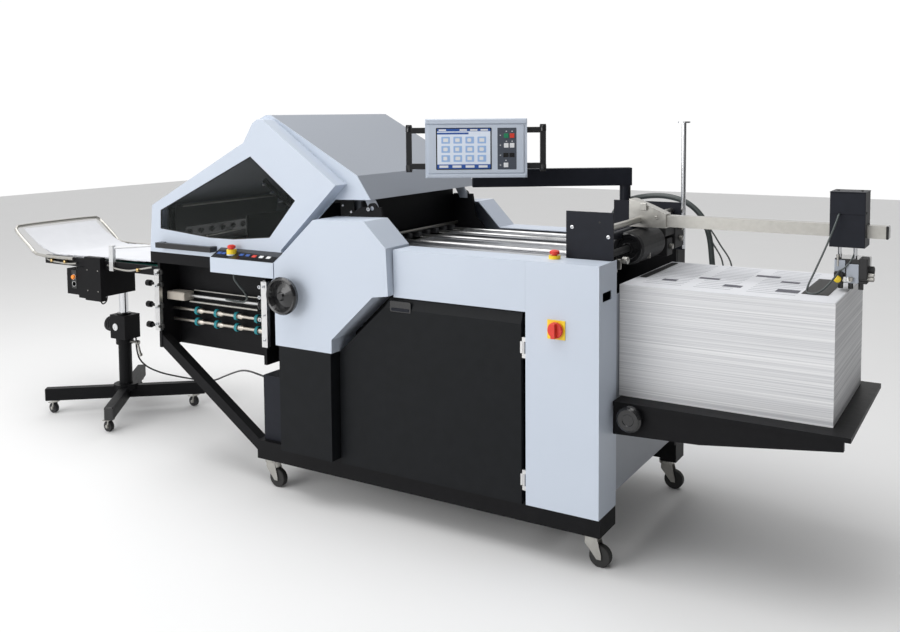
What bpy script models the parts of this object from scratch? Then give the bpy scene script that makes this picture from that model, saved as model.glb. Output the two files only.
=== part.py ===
"""A floor-standing cross folder for printed sheets: pile feeder, register table, fold unit and delivery stand.

Metres, +Z up. +X runs from the delivery stand to the pile feeder and -Y is the operator's side. While the
pieces are placed, x = 0 is the feeder end of the machine, y = 0 the front of its covers and z = 0 the floor.
The last step moves the origin under the middle of the whole part.
"""

import math

import bpy
import numpy as np
from mathutils import Matrix, Vector

for old in list(bpy.data.objects):
    bpy.data.objects.remove(old)

# Clearances and sheet walls
GAP = 0.0003            # touching pieces stand this far apart
PIN_GAP = 0.0004        # round a pin in its hole
COVER_WALL = 0.003
CUT = 0.02              # how far a cutting tool runs past what it cuts

# Driving sizes of the machine
FRONT_PLATE_FRONT = 0.1153
PLATE_WALL = 0.012
REAR_PLATE_FRONT = 0.800
BACK = 0.945
TABLE_HEIGHT = 1.012
BED_DROP = 0.047
BED_TOP = TABLE_HEIGHT - BED_DROP
COVER_BOTTOM = 0.1873
FOLD_FRONT = -0.035
FOLD_LEFT = -1.307
FOLD_RIGHT = -0.777
COLUMN_LEFT = -0.250
COLUMN_RIGHT = 0.010
FRAME_LEFT = -1.478
FRAME_FRONT = 0.035
FRAME_BACK = 0.915
FRAME_BOTTOM = 0.112
FRAME_TOP = 0.187
RAIL_WIDTH = 0.070

# Driving sizes of the hood and the fold unit
UNIT_LEFT = -2.045
UNIT_RIGHT = -1.430
UNIT_WALL = 0.015
UNIT_FRONT = 0.050
UNIT_BACK = 0.860
UNIT_BOTTOM = 0.495
HOOD_LEFT = -2.063
HOOD_FRONT = 0.030
HOOD_SEAM = 0.100
HOOD_BACK = 0.895
HOOD_DROP = 0.0967
HOOD_HEIGHT = 0.5797
HOOD_BOTTOM = TABLE_HEIGHT - HOOD_DROP
HOOD_TOP = HOOD_BOTTOM + HOOD_HEIGHT
HINGE_X = -0.950
HINGE_RISE = 0.130
HINGE_Z = TABLE_HEIGHT + HINGE_RISE

# Driving sizes of the feeder, the pile and its table
DRUM_X = -0.020
DRUM_RISE = 0.014
DRUM_Z = TABLE_HEIGHT + DRUM_RISE
ARM_Y = 0.460
ARM_RISE = 0.122
ARM_TOP = TABLE_HEIGHT + ARM_RISE
ARM_RIGHT = 0.788
HEAD_X = 0.675
PILE_LEFT = 0.005
PILE_RIGHT = 0.680
PILE_FRONT = 0.188
PILE_BACK = 0.733
PILE_DROP = 0.087
PILE_TOP = TABLE_HEIGHT - PILE_DROP
PILE_TABLE_TOP = 0.550
PILE_TABLE_LEFT = 0.012
PILE_TABLE_RIGHT = 0.741

# Driving sizes of the touch panel and its arm
POST_X = -0.223
POST_Y = 0.835
PANEL_ARM_LENGTH = 0.6125
PANEL_ARM_TURN = math.radians(214.6)
PANEL_ARM_RISE = 0.262
PANEL_ARM_TOP = TABLE_HEIGHT + PANEL_ARM_RISE
PANEL_TURN = math.radians(31.2)
PANEL_WIDTH = 0.390
PANEL_HEIGHT = 0.226
PANEL_SINK = 0.0255
PANEL_BOTTOM = PANEL_ARM_TOP - PANEL_SINK

# Driving sizes of the delivery stand
STAND_X = -2.7475
STAND_Y = 0.447
STAND_BAR = 0.780
CONVEYOR_REACH_LEFT = 0.3015
CONVEYOR_REACH_RIGHT = 0.5142
CONVEYOR_LEFT = STAND_X - CONVEYOR_REACH_LEFT
CONVEYOR_RIGHT = STAND_X + CONVEYOR_REACH_RIGHT
CONVEYOR_HALF_FRONT = 0.222
CONVEYOR_HALF_BACK = 0.282
CONVEYOR_FRONT = STAND_Y - CONVEYOR_HALF_FRONT
CONVEYOR_BACK = STAND_Y + CONVEYOR_HALF_BACK
CONVEYOR_TOP = 0.8052
DRIVE_DEPTH = 0.1926
DRIVE_BOTTOM = CONVEYOR_TOP - DRIVE_DEPTH

# Casters
WHEEL_RADIUS = 0.0375
STAND_WHEEL_RADIUS = 0.025

ROOT = bpy.data.objects.new("floor_centre", None)
bpy.context.scene.collection.objects.link(ROOT)


# Materials
def finish(name, colour, roughness, metallic=0.0):
    """A plain Principled material with the piece's colour."""
    material = bpy.data.materials.new(name)
    material.use_nodes = True
    shader = material.node_tree.nodes["Principled BSDF"]
    shader.inputs["Base Color"].default_value = (*colour, 1.0)
    shader.inputs["Roughness"].default_value = roughness
    shader.inputs["Metallic"].default_value = metallic
    return material


PALE = finish("pale_blue_grey_paint", (0.60, 0.67, 0.75), 0.45)
HOOD_GREY = finish("mid_grey_paint", (0.33, 0.36, 0.40), 0.45)
BLACK = finish("black_powder_coat", (0.012, 0.012, 0.014), 0.55)
NAVY = finish("charcoal_powder_coat", (0.022, 0.025, 0.035), 0.5)
STEEL = finish("bright_steel", (0.56, 0.56, 0.55), 0.3, 1.0)
ZINC = finish("zinc_plate", (0.50, 0.49, 0.45), 0.35, 1.0)
CHROME = finish("chrome", (0.72, 0.72, 0.72), 0.12, 1.0)
TEAL = finish("teal_rubber", (0.01, 0.22, 0.25), 0.6)
BEIGE = finish("beige_paint", (0.42, 0.38, 0.32), 0.5)
GLASS = finish("smoked_window", (0.10, 0.10, 0.09), 0.08)
PLASTIC = finish("black_gloss_plastic", (0.01, 0.01, 0.01), 0.2)
RED = finish("red_plastic", (0.65, 0.03, 0.02), 0.35)
YELLOW = finish("yellow_plastic", (0.85, 0.62, 0.02), 0.4)
PAPER = finish("white_paper", (0.80, 0.80, 0.82), 0.8)
RUBBER = finish("black_rubber", (0.015, 0.015, 0.015), 0.7)
HOSE = finish("grey_hose", (0.05, 0.06, 0.06), 0.5)


# Shape helpers
def part(name, corners, faces, material):
    """A mesh object on the floor centre, with its faces pointing out."""
    mesh = bpy.data.meshes.new(name)
    mesh.from_pydata([tuple(c) for c in corners], [], faces)
    mesh.validate()
    mesh.materials.append(material)
    obj = bpy.data.objects.new(name, mesh)
    bpy.context.scene.collection.objects.link(obj)
    obj.parent = ROOT
    return obj


def signed_area(outline):
    """Twice the area of a flat outline, positive when it runs anticlockwise."""
    return sum(a[0] * b[1] - b[0] * a[1] for a, b in zip(outline, outline[1:] + outline[:1]))


def prism(name, outline, axis, start, end, material):
    """An outline pushed along X, Y or Z: (y, z), (x, z) or (x, y) points, from start to end."""
    outline = list(outline)
    if (signed_area(outline) > 0) == (axis == "Y"):
        outline.reverse()
    place = {"X": lambda a, b, c: (c, a, b), "Y": lambda a, b, c: (a, c, b), "Z": lambda a, b, c: (a, b, c)}[axis]
    low, high = min(start, end), max(start, end)
    count = len(outline)
    corners = [place(a, b, low) for a, b in outline] + [place(a, b, high) for a, b in outline]
    sides = [(i, (i + 1) % count, count + (i + 1) % count, count + i) for i in range(count)]
    faces = [tuple(reversed(range(count))), tuple(range(count, 2 * count))] + sides
    return part(name, corners, faces, material)


def block(name, x, y, z, material):
    """A box between two values on each axis."""
    return prism(name, [(x[0], y[0]), (x[1], y[0]), (x[1], y[1]), (x[0], y[1])], "Z", z[0], z[1], material)


def frame_of(direction):
    """Two unit vectors square to a direction and to each other."""
    along = Vector(direction).normalized()
    guide = Vector((0.0, 0.0, 1.0)) if abs(along.z) < abs(along.x) + abs(along.y) else Vector((0.0, 1.0, 0.0))
    side = guide.cross(along).normalized()
    return along, side, along.cross(side)


def turned(name, profile, origin, direction, sides, material):
    """A profile of (distance along, radius) turned about an axis; its two ends are closed flat."""
    along, side, up = frame_of(direction)
    corners, faces = [], []
    for distance, radius in profile:
        for k in range(sides):
            angle = math.tau * (k + 0.5) / sides
            ring = side * (radius * math.cos(angle)) + up * (radius * math.sin(angle))
            corners.append(Vector(origin) + along * distance + ring)
    for row in range(len(profile) - 1):
        for k in range(sides):
            a, b = row * sides + k, row * sides + (k + 1) % sides
            faces.append((a, b, b + sides, a + sides))
    faces.append(tuple(reversed(range(sides))))
    faces.append(tuple(range((len(profile) - 1) * sides, len(profile) * sides)))
    obj = part(name, corners, faces, material)
    obj.data.shade_smooth()
    obj.data.set_sharp_from_angle(angle=math.radians(35))
    return obj


def rod(name, start, end, radius, sides, material):
    """A round bar between two points."""
    length = (Vector(end) - Vector(start)).length
    return turned(name, [(0, radius), (length, radius)], start, Vector(end) - Vector(start), sides, material)


def ring(name, origin, direction, inner, outer, length, sides, material):
    """A round tube: its outer wall, its inner wall and the two flat ends between them."""
    along, side, up = frame_of(direction)
    walls = [(0, outer), (length, outer), (length, inner), (0, inner)]
    corners, faces = [], []
    for distance, radius in walls:
        for k in range(sides):
            angle = math.tau * (k + 0.5) / sides
            corners.append(Vector(origin) + along * distance
                           + side * (radius * math.cos(angle)) + up * (radius * math.sin(angle)))
    for row in range(len(walls)):
        after = (row + 1) % len(walls)
        for k in range(sides):
            n = (k + 1) % sides
            faces.append((row * sides + k, row * sides + n, after * sides + n, after * sides + k))
    return part(name, corners, faces, material)


def tube_curve(name, route, diameter, material, step_shares, resolution):
    """A cord or hose: a curve object along a smooth line through its route's own points."""
    points = smooth_line(route, diameter * step_shares)
    curve = bpy.data.curves.new(name, "CURVE")
    curve.dimensions = "3D"
    curve.bevel_depth = diameter / 2
    curve.bevel_resolution = resolution
    curve.use_fill_caps = True
    spline = curve.splines.new("POLY")
    spline.points.add(len(points) - 1)
    for slot, point in zip(spline.points, points):
        slot.co = (*point, 1.0)
    curve.materials.append(material)
    obj = bpy.data.objects.new(name, curve)
    bpy.context.scene.collection.objects.link(obj)
    obj.parent = ROOT
    return obj


def smooth_line(route, step):
    """Points a step apart on a centripetal Catmull-Rom curve through a route."""
    route = [np.array(p, float) for p in route]
    ends = [2 * route[0] - route[1]] + route + [2 * route[-1] - route[-2]]
    fine = []
    for a, b, c, d in zip(ends, ends[1:], ends[2:], ends[3:]):
        knots = [0.0]
        for p, q in ((a, b), (b, c), (c, d)):
            knots.append(knots[-1] + math.sqrt(np.linalg.norm(q - p)))
        for t in np.linspace(knots[1], knots[2], 24, endpoint=False):
            first = [blend(p, q, knots[i], knots[i + 1], t) for i, (p, q) in enumerate(((a, b), (b, c), (c, d)))]
            second = [blend(first[i], first[i + 1], knots[i], knots[i + 2], t) for i in range(2)]
            fine.append(blend(second[0], second[1], knots[1], knots[2], t))
    fine.append(route[-1])
    fine = np.array(fine)
    run = np.concatenate([[0], np.cumsum(np.linalg.norm(np.diff(fine, axis=0), axis=1))])
    even = np.linspace(0, run[-1], max(2, round(run[-1] / step)) + 1)
    return np.stack([np.interp(even, run, fine[:, k]) for k in range(3)], axis=1)


def blend(low, high, start, end, value):
    """The point between two points whose knots are start and end."""
    return ((end - value) * low + (value - start) * high) / (end - start)


def hide(tool):
    """A cutter or a helper: drawn as wire and left out of renders."""
    tool.hide_render = True
    tool.display_type = "WIRE"


def combine(obj, operation, *tools):
    """Boolean modifiers on an object, one for each tool."""
    for tool in tools:
        hide(tool)
        modifier = obj.modifiers.new(tool.name, "BOOLEAN")
        modifier.operation = operation
        modifier.object = tool
        modifier.solver = "EXACT"
    return obj


def cut(obj, *tools):
    """Takes the tools away from an object."""
    return combine(obj, "DIFFERENCE", *tools)


def fuse(obj, *tools):
    """Joins the tools to an object as one solid."""
    return combine(obj, "UNION", *tools)


def ease(obj, width, segments=2):
    """Rounds the sharp edges of a piece."""
    modifier = obj.modifiers.new("eased_edges", "BEVEL")
    modifier.width = width
    modifier.segments = segments
    modifier.limit_method = "ANGLE"
    modifier.angle_limit = math.radians(40)
    return obj


def inset(outline, wall):
    """An outline moved in by a wall: each side shifts square to itself and neighbours meet again."""
    points = [Vector(p) for p in outline]
    turn = 1.0 if signed_area(outline) > 0 else -1.0
    moved = []
    for before, here, after in zip(points[-1:] + points[:-1], points, points[1:] + points[:1]):
        d1, d2 = (here - before).normalized(), (after - here).normalized()
        n1, n2 = Vector((-d1.y, d1.x)) * turn, Vector((-d2.y, d2.x)) * turn
        moved.append(tuple(here + (n1 + n2) * (wall / (1.0 + n1.dot(n2)))))
    return moved


def scaled(shares, left, right, bottom, top):
    """Outline points from shares of a width and a height."""
    return [(left + u * (right - left), bottom + v * (top - bottom)) for u, v in shares]


# The welded base frame with the mast of the pile lift
MAST_LEFT = -0.061
MAST_RIGHT = 0.0
MAST_FRONT = 0.818
MAST_DEPTH = 0.090
MAST_DROP = 0.027
MAST_TOP = TABLE_HEIGHT - MAST_DROP
MIDDLE_RAIL = -0.770
RIGHT_RAIL = -0.235
CORNER_WIDTH = 0.137


def base_frame():
    right = 0.0
    half = RAIL_WIDTH / 2
    through = (FRAME_BOTTOM - CUT, FRAME_TOP + CUT)
    inside_y = (FRAME_FRONT + RAIL_WIDTH, FRAME_BACK - RAIL_WIDTH)
    frame = block("base_frame", (FRAME_LEFT, right), (FRAME_FRONT, FRAME_BACK), (FRAME_BOTTOM, FRAME_TOP), BLACK)
    left_bay = block("frame_left_bay", (FRAME_LEFT + RAIL_WIDTH, MIDDLE_RAIL - half), inside_y, through, BLACK)
    right_bay = block("frame_right_bay", (MIDDLE_RAIL + half, RIGHT_RAIL - half), inside_y, through, BLACK)
    open_end = block("frame_open_end", (RIGHT_RAIL + half, right + CUT), inside_y, through, BLACK)
    corner = block("frame_corner", (right - CORNER_WIDTH, right), (FRAME_FRONT, FRAME_FRONT + CORNER_WIDTH),
                   (FRAME_BOTTOM, FRAME_TOP), BLACK)
    mast = block("lift_mast", (MAST_LEFT, MAST_RIGHT), (MAST_FRONT, MAST_FRONT + MAST_DEPTH),
                 (FRAME_BOTTOM, MAST_TOP), BLACK)
    cut(frame, left_bay, right_bay, open_end)
    return fuse(frame, corner, mast)


# Side plates that carry the rollers, the bed and the covers
PLATE_OUTLINE_SHARES = ((0.104, 0.0), (1.0, 0.0), (1.0, 0.821), (0.424, 0.821), (0.376, 0.897), (0.364, 1.0),
                        (0.301, 1.0), (0.217, 0.925), (0.0, 0.747), (0.0, 0.326), (0.104, 0.326))
PLATE_RISE = 0.134
PLATE_TOP = TABLE_HEIGHT + PLATE_RISE
PLATE_RIGHT = 0.0
HINGE_EYE = 0.020
HINGE_PIN = 0.008


def side_plate(name, front):
    back = front + PLATE_WALL
    outline = scaled(PLATE_OUTLINE_SHARES, UNIT_RIGHT + GAP, PLATE_RIGHT, FRAME_TOP + GAP, PLATE_TOP)
    plate = prism(name, outline, "Y", front, back, BLACK)
    eye = rod(name + "_eye", (HINGE_X, front, HINGE_Z), (HINGE_X, back, HINGE_Z), HINGE_EYE, 16, BLACK)
    hole = rod(name + "_hole", (HINGE_X, front - CUT, HINGE_Z), (HINGE_X, back + CUT, HINGE_Z),
               HINGE_PIN + PIN_GAP, 16, BLACK)
    return cut(fuse(plate, eye), hole)


# Push buttons: a bored collar on a cover and a mushroom cap over it
COLLAR_RADIUS = 0.020
COLLAR_HEIGHT = 0.012
STEM_RADIUS = 0.009
BUTTON_RADIUS = 0.0165
BUTTON_TRAVEL = 0.004
CAP_HEIGHT = 0.010
DOME_HEIGHT = 0.004


def button_collar(name, x, y, base, sink):
    """The collar stands on the face at base and reaches down into its wall by sink."""
    return ring(name, (x, y, base - sink), (0, 0, 1), STEM_RADIUS + PIN_GAP, COLLAR_RADIUS,
                COLLAR_HEIGHT + sink, 16, YELLOW)


def push_button(name, x, y, base):
    foot = BUTTON_TRAVEL + GAP
    rim = COLLAR_HEIGHT + BUTTON_TRAVEL + GAP
    profile = [(foot, STEM_RADIUS), (rim, STEM_RADIUS), (rim + GAP, BUTTON_RADIUS),
               (rim + CAP_HEIGHT, BUTTON_RADIUS), (rim + CAP_HEIGHT + DOME_HEIGHT, BUTTON_RADIUS / 2)]
    return turned(name, profile, (x, y, base), (0, 0, 1), 16, RED)


# Covers round the machine
def tray(name, outline, face, mouth, material):
    """A cover: a face with a rim all round, open at its mouth towards the machine."""
    toward = math.copysign(1.0, mouth - face)
    cover = prism(name, outline, "Y", face, mouth, material)
    hollow = prism(name + "_hollow", inset(outline, COVER_WALL), "Y", face + toward * COVER_WALL,
                   mouth + toward * CUT, material)
    return cut(cover, hollow)


def box_outline(left, right, bottom, top):
    return [(left, bottom), (right, bottom), (right, top), (left, top)]


COVER_MOUTH = FRONT_PLATE_FRONT - GAP
ESTOP_X = -0.180
ESTOP_Y = 0.078
SWITCH_X = -0.1375
SWITCH_DROP = 0.218
SWITCH_Z = TABLE_HEIGHT - SWITCH_DROP
SWITCH_PLATE = 0.063
SWITCH_PLATE_PROUD = 0.003
DOOR_AXIS_X = -0.258
DOOR_AXIS_Y = 0.004
DOOR_HINGES_Z = (0.270, 0.720)
KNUCKLE_RADIUS = 0.0055
KNUCKLE_HALF = 0.020
LUG_HALF = 0.035


def column_cover():
    flange_back = 0.150
    slot_front, slot_back, slot_low, slot_high = 0.030, 0.105, 0.121, 0.091
    slot_y, slot_z = (slot_front, slot_back), (TABLE_HEIGHT - slot_low, TABLE_HEIGHT - slot_high)
    right = (COLUMN_RIGHT - COVER_WALL, COLUMN_RIGHT)
    outline = box_outline(COLUMN_LEFT, COLUMN_RIGHT, COVER_BOTTOM, TABLE_HEIGHT)
    cover = tray("column_cover", outline, 0.0, COVER_MOUTH, PALE)
    flange = block("column_flange", right, (COVER_MOUTH - COVER_WALL, flange_back), (COVER_BOTTOM, TABLE_HEIGHT), PALE)
    slot = block("column_slot", (right[0] - CUT, right[1] + CUT), slot_y, slot_z, PALE)
    collar = button_collar("column_collar", ESTOP_X, ESTOP_Y, TABLE_HEIGHT, COVER_WALL / 2)
    plate = block("switch_plate", (SWITCH_X - SWITCH_PLATE / 2, SWITCH_X + SWITCH_PLATE / 2),
                  (-SWITCH_PLATE_PROUD, COVER_WALL / 2),
                  (SWITCH_Z - SWITCH_PLATE / 2, SWITCH_Z + SWITCH_PLATE / 2), YELLOW)
    fuse(cover, flange, collar, plate)
    for index, z in enumerate(DOOR_HINGES_Z):
        for side in (-1.0, 1.0):
            near, far = z + side * (KNUCKLE_HALF + GAP), z + side * LUG_HALF
            lug = block(f"hinge_lug_{index}_{side:+.0f}", (DOOR_AXIS_X - KNUCKLE_RADIUS, COLUMN_LEFT + COVER_WALL / 2),
                        (COVER_WALL / 2, DOOR_AXIS_Y + KNUCKLE_RADIUS), (near, far), ZINC)
            fuse(cover, lug)
    return cut(cover, slot)


BEAM_HEIGHT = 0.171


def beam_cover():
    bottom = TABLE_HEIGHT - BEAM_HEIGHT
    outline = box_outline(FOLD_RIGHT + GAP, COLUMN_LEFT - GAP, bottom, TABLE_HEIGHT)
    return tray("beam_cover", outline, 0.0, COVER_MOUTH, PALE)


FOLD_COVER_SHARES = ((0.0, 0.637), (0.366, 0.988), (0.808, 1.0), (0.985, 0.818), (1.0, 0.477), (0.870, 0.457),
                     (0.515, 0.104), (0.513, 0.0), (0.0, 0.0))
FOLD_COVER_RISE = 0.099
FOLD_COVER_HEIGHT = 0.501
FOLD_COVER_TOP = TABLE_HEIGHT + FOLD_COVER_RISE
FOLD_COVER_BOTTOM = FOLD_COVER_TOP - FOLD_COVER_HEIGHT
WHEEL_X = -1.227
WHEEL_DROP = 0.195
WHEEL_Z = TABLE_HEIGHT - WHEEL_DROP
WHEEL_SHAFT = 0.009


def fold_side_cover():
    outline = scaled(FOLD_COVER_SHARES, FOLD_LEFT, FOLD_RIGHT, FOLD_COVER_BOTTOM, FOLD_COVER_TOP)
    cover = tray("fold_side_cover", outline, FOLD_FRONT, COVER_MOUTH, PALE)
    hole = rod("wheel_shaft_hole", (WHEEL_X, FOLD_FRONT - CUT, WHEEL_Z), (WHEEL_X, FOLD_FRONT + CUT, WHEEL_Z),
               WHEEL_SHAFT + PIN_GAP, 16, PALE)
    return cut(cover, hole)


LOWER_PANEL_LEFT = -1.290
LOWER_PANEL_RIGHT = -1.040
LOWER_PANEL_BOTTOM = 0.198


def lower_front_panel():
    outline = box_outline(LOWER_PANEL_LEFT, LOWER_PANEL_RIGHT, LOWER_PANEL_BOTTOM, FOLD_COVER_BOTTOM - GAP)
    return tray("lower_front_panel", outline, FOLD_FRONT, COVER_MOUTH, BLACK)


REAR_MOUTH = REAR_PLATE_FRONT + PLATE_WALL + GAP
REAR_COVER_RISE = 0.1015
REAR_COVER_TOP = TABLE_HEIGHT + REAR_COVER_RISE
REAR_LOW_SHARE = 0.883
REAR_TOP = FRAME_TOP + GAP + REAR_LOW_SHARE * (REAR_COVER_TOP - FRAME_TOP - GAP)
REAR_RIGHT = MAST_LEFT - GAP
REAR_COVER_SHARES = ((0.0, 0.0), (1.0, 0.0), (1.0, REAR_LOW_SHARE), (0.423, REAR_LOW_SHARE),
                     (0.340, 1.0), (0.155, 0.993), (0.0, 0.798))


def rear_cover():
    outline = scaled(REAR_COVER_SHARES, FOLD_LEFT, REAR_RIGHT, FRAME_TOP + GAP, REAR_COVER_TOP)
    return tray("rear_cover", outline, BACK, REAR_MOUTH, PALE)


END_PANEL_BOTTOM = 0.230
END_PANEL_DROP = 0.117
END_PANEL_TOP = TABLE_HEIGHT - END_PANEL_DROP


def end_panel():
    front = FRONT_PLATE_FRONT + GAP
    back = REAR_PLATE_FRONT + PLATE_WALL - GAP
    return block("end_panel", (PLATE_RIGHT + GAP, PLATE_RIGHT + GAP + COVER_WALL), (front, back),
                 (END_PANEL_BOTTOM, END_PANEL_TOP), HOOD_GREY)


# The front door with its hinge knuckles
DOOR_FRONT = 0.012
DOOR_DEPTH = 0.018
DOOR_LEFT = -1.034
DOOR_RIGHT = -0.272
DOOR_BOTTOM = 0.180
DOOR_DROP = 0.005
DOOR_TOP = TABLE_HEIGHT - BEAM_HEIGHT - DOOR_DROP
DOOR_SHARES = ((0.0, 0.0), (1.0, 0.0), (1.0, 1.0), (0.30, 1.0), (0.275, 0.945), (0.008, 0.66), (0.0, 0.64))
STRIP_HEIGHT = 0.040
STRIP_BOTTOM = DOOR_TOP - STRIP_HEIGHT


def front_door():
    outline = scaled(DOOR_SHARES, DOOR_LEFT, DOOR_RIGHT, DOOR_BOTTOM, DOOR_TOP)
    back = DOOR_FRONT + DOOR_DEPTH
    door = prism("front_door", outline, "Y", DOOR_FRONT, back, BLACK)
    low = scaled(DOOR_SHARES, DOOR_LEFT, DOOR_RIGHT, DOOR_BOTTOM, STRIP_BOTTOM)
    hollow = prism("door_hollow", inset(low, COVER_WALL), "Y", DOOR_FRONT + COVER_WALL, back + CUT, BLACK)
    slope = [(DOOR_FRONT - CUT, STRIP_BOTTOM), (DOOR_FRONT, STRIP_BOTTOM),
             (back - COVER_WALL, DOOR_TOP + COVER_WALL), (DOOR_FRONT - CUT, DOOR_TOP + COVER_WALL)]
    wedge = prism("door_slope", slope, "X", DOOR_LEFT - CUT, DOOR_RIGHT + CUT, BLACK)
    cut(door, hollow, wedge)
    for index, z in enumerate(DOOR_HINGES_Z):
        knuckle = rod(f"knuckle_{index}", (DOOR_AXIS_X, DOOR_AXIS_Y, z - KNUCKLE_HALF),
                      (DOOR_AXIS_X, DOOR_AXIS_Y, z + KNUCKLE_HALF), KNUCKLE_RADIUS, 12, ZINC)
        leaf = block(f"leaf_{index}", (DOOR_RIGHT - COVER_WALL, DOOR_AXIS_X),
                     (DOOR_AXIS_Y, DOOR_FRONT + COVER_WALL), (z - KNUCKLE_HALF, z + KNUCKLE_HALF), ZINC)
        fuse(door, leaf, knuckle)
    return door


# Register table
BED_LEFT = -0.960
BED_RIGHT = -0.190
BED_SHEET = 0.006
BAND_WIDTH = 0.200
BAND_DROP = 0.027
BAND_TOP = TABLE_HEIGHT - BAND_DROP
RODS_Y = (0.345, 0.510, 0.660, 0.775)
ROD_RADIUS = 0.0075
CROSS_BAR = 0.020
ROD_DROP = 0.019
ROD_Z = TABLE_HEIGHT - ROD_DROP
ROD_OVERHANG = 0.050


def register_bed():
    front = FRONT_PLATE_FRONT + PLATE_WALL + GAP
    back = REAR_PLATE_FRONT - GAP
    step = front + BAND_WIDTH
    sheet = [(front, BAND_TOP - BED_SHEET), (step, BAND_TOP - BED_SHEET), (step, BED_TOP - BED_SHEET),
             (back, BED_TOP - BED_SHEET), (back, BED_TOP), (step + BED_SHEET, BED_TOP),
             (step + BED_SHEET, BAND_TOP), (front, BAND_TOP)]
    return prism("register_bed", sheet, "X", BED_LEFT, BED_RIGHT, STEEL)


def register_rods():
    left, right = BED_LEFT + CROSS_BAR, BED_RIGHT - CROSS_BAR / 2
    front = RODS_Y[0] - ROD_RADIUS
    back = RODS_Y[-1] + ROD_RADIUS
    bars_z = (BED_TOP + GAP, ROD_Z)
    carrier = block("register_rods", (left, left + CROSS_BAR), (front, back), bars_z, STEEL)
    other = block("rods_right_bar", (right - CROSS_BAR, right), (front, back), bars_z, STEEL)
    fuse(carrier, other)
    for index, y in enumerate(RODS_Y):
        fuse(carrier, rod(f"register_rod_{index}", (left - ROD_OVERHANG, y, ROD_Z),
                          (right - CROSS_BAR / 4, y, ROD_Z), ROD_RADIUS, 10, STEEL))
    return carrier


# Feeder head between its two plates
FEEDER_PLATE = 0.006
FEEDER_DROP = 0.112
FEEDER_FRONT_RISE = 0.157
FEEDER_REAR_RISE = 0.135
FEEDER_BOTTOM = TABLE_HEIGHT - FEEDER_DROP
FEEDER_FRONT_TOP = TABLE_HEIGHT + FEEDER_FRONT_RISE
FEEDER_REAR_TOP = TABLE_HEIGHT + FEEDER_REAR_RISE
POST_RADIUS = 0.009
FLANGE_RADIUS = 0.0235


def feeder_front_plate():
    left, right = -0.161, 0.006
    front = FRONT_PLATE_FRONT + PLATE_WALL + GAP
    outline = box_outline(left, right, FEEDER_BOTTOM, FEEDER_FRONT_TOP)
    return prism("feeder_front_plate", outline, "Y", front, front + FEEDER_PLATE, NAVY)


def feeder_rear_plate():
    left, right = -0.254, 0.034
    post_x, post_rise, flange = 0.030, 0.446, 0.006
    post_top = TABLE_HEIGHT + post_rise
    front = REAR_PLATE_FRONT - GAP - FEEDER_PLATE
    post_y = front - POST_RADIUS * 0.8
    outline = box_outline(left, right, BED_TOP + GAP, FEEDER_REAR_TOP)
    plate = prism("feeder_rear_plate", outline, "Y", front, front + FEEDER_PLATE, NAVY)
    foot = BED_TOP + FEEDER_PLATE
    post = turned("guide_post", [(0, POST_RADIUS), (post_top - flange - foot, POST_RADIUS),
                                 (post_top - flange - foot + GAP, FLANGE_RADIUS), (post_top - foot, FLANGE_RADIUS)],
                  (post_x, post_y, foot), (0, 0, 1), 14, CHROME)
    return fuse(plate, post)


SHAFT_START = FRONT_PLATE_FRONT + PLATE_WALL + FEEDER_PLATE + 2 * GAP
SHAFT_END = REAR_PLATE_FRONT - FEEDER_PLATE - 2 * GAP
DRUM_RADIUS = 0.058


def feed_drum():
    shaft, drum_front, drum_back = 0.012, 0.330, 0.560
    near, far = drum_front - SHAFT_START, drum_back - SHAFT_START
    lip = 0.006
    profile = [(0, shaft), (near, shaft), (near + GAP, DRUM_RADIUS - lip), (near + lip, DRUM_RADIUS),
               (far - lip, DRUM_RADIUS), (far - GAP, DRUM_RADIUS - lip), (far, shaft),
               (SHAFT_END - SHAFT_START, shaft)]
    return turned("feed_drum", profile, (DRUM_X, SHAFT_START, DRUM_Z), (0, 1, 0), 24, PLASTIC)


ARM_SIZE = 0.040
ARM_SHAFT = 0.011


def sucker_arm():
    bracket_shares = ((0.0, 0.0), (1.0, 0.0), (1.0, 0.5), (0.55, 0.76), (0.10, 1.0), (0.0, 1.0))
    bracket_half, bracket_left, bracket_right = 0.026, 0.035, 0.100
    bracket_bottom, bracket_top = 0.044, 0.054
    shaft_z = ARM_TOP - ARM_SIZE / 2 + GAP
    arm = block("sucker_arm", (DRUM_X, ARM_RIGHT), (ARM_Y - ARM_SIZE / 2, ARM_Y + ARM_SIZE / 2),
                (ARM_TOP - ARM_SIZE, ARM_TOP), ZINC)
    outline = scaled(bracket_shares, DRUM_X - bracket_left, DRUM_X + bracket_right,
                     ARM_TOP - bracket_bottom, ARM_TOP + bracket_top)
    bracket = prism("arm_bracket", outline, "Y", ARM_Y - bracket_half, ARM_Y + bracket_half, ZINC)
    shaft = rod("arm_shaft", (DRUM_X, SHAFT_START, shaft_z), (DRUM_X, SHAFT_END, shaft_z), ARM_SHAFT, 12, STEEL)
    return fuse(arm, bracket, shaft)


# Suction head that slides along the arm
BOX_HALF = 0.0525
BOX_FRONT = 0.402
BOX_DEPTH = 0.100
BOX_DROP = 0.068
BOX_RISE = 0.104
BOX_BOTTOM = ARM_TOP - BOX_DROP
BOX_TOP = ARM_TOP + BOX_RISE
HEAD_TRAVEL = 0.020
HEAD_ROD = 0.006
HEAD_ROD_OFFSET = 0.023
HEAD_RODS_X = (-HEAD_ROD_OFFSET, HEAD_ROD_OFFSET)
HEAD_RODS_Y = 0.4205
HEAD_DROP = 0.104
RODS_RISE = 0.061
HEAD_TOP = ARM_TOP - HEAD_DROP
RODS_TOP = ARM_TOP + RODS_RISE
HEAD_LEFT = 0.035
HEAD_RIGHT = 0.060


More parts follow.
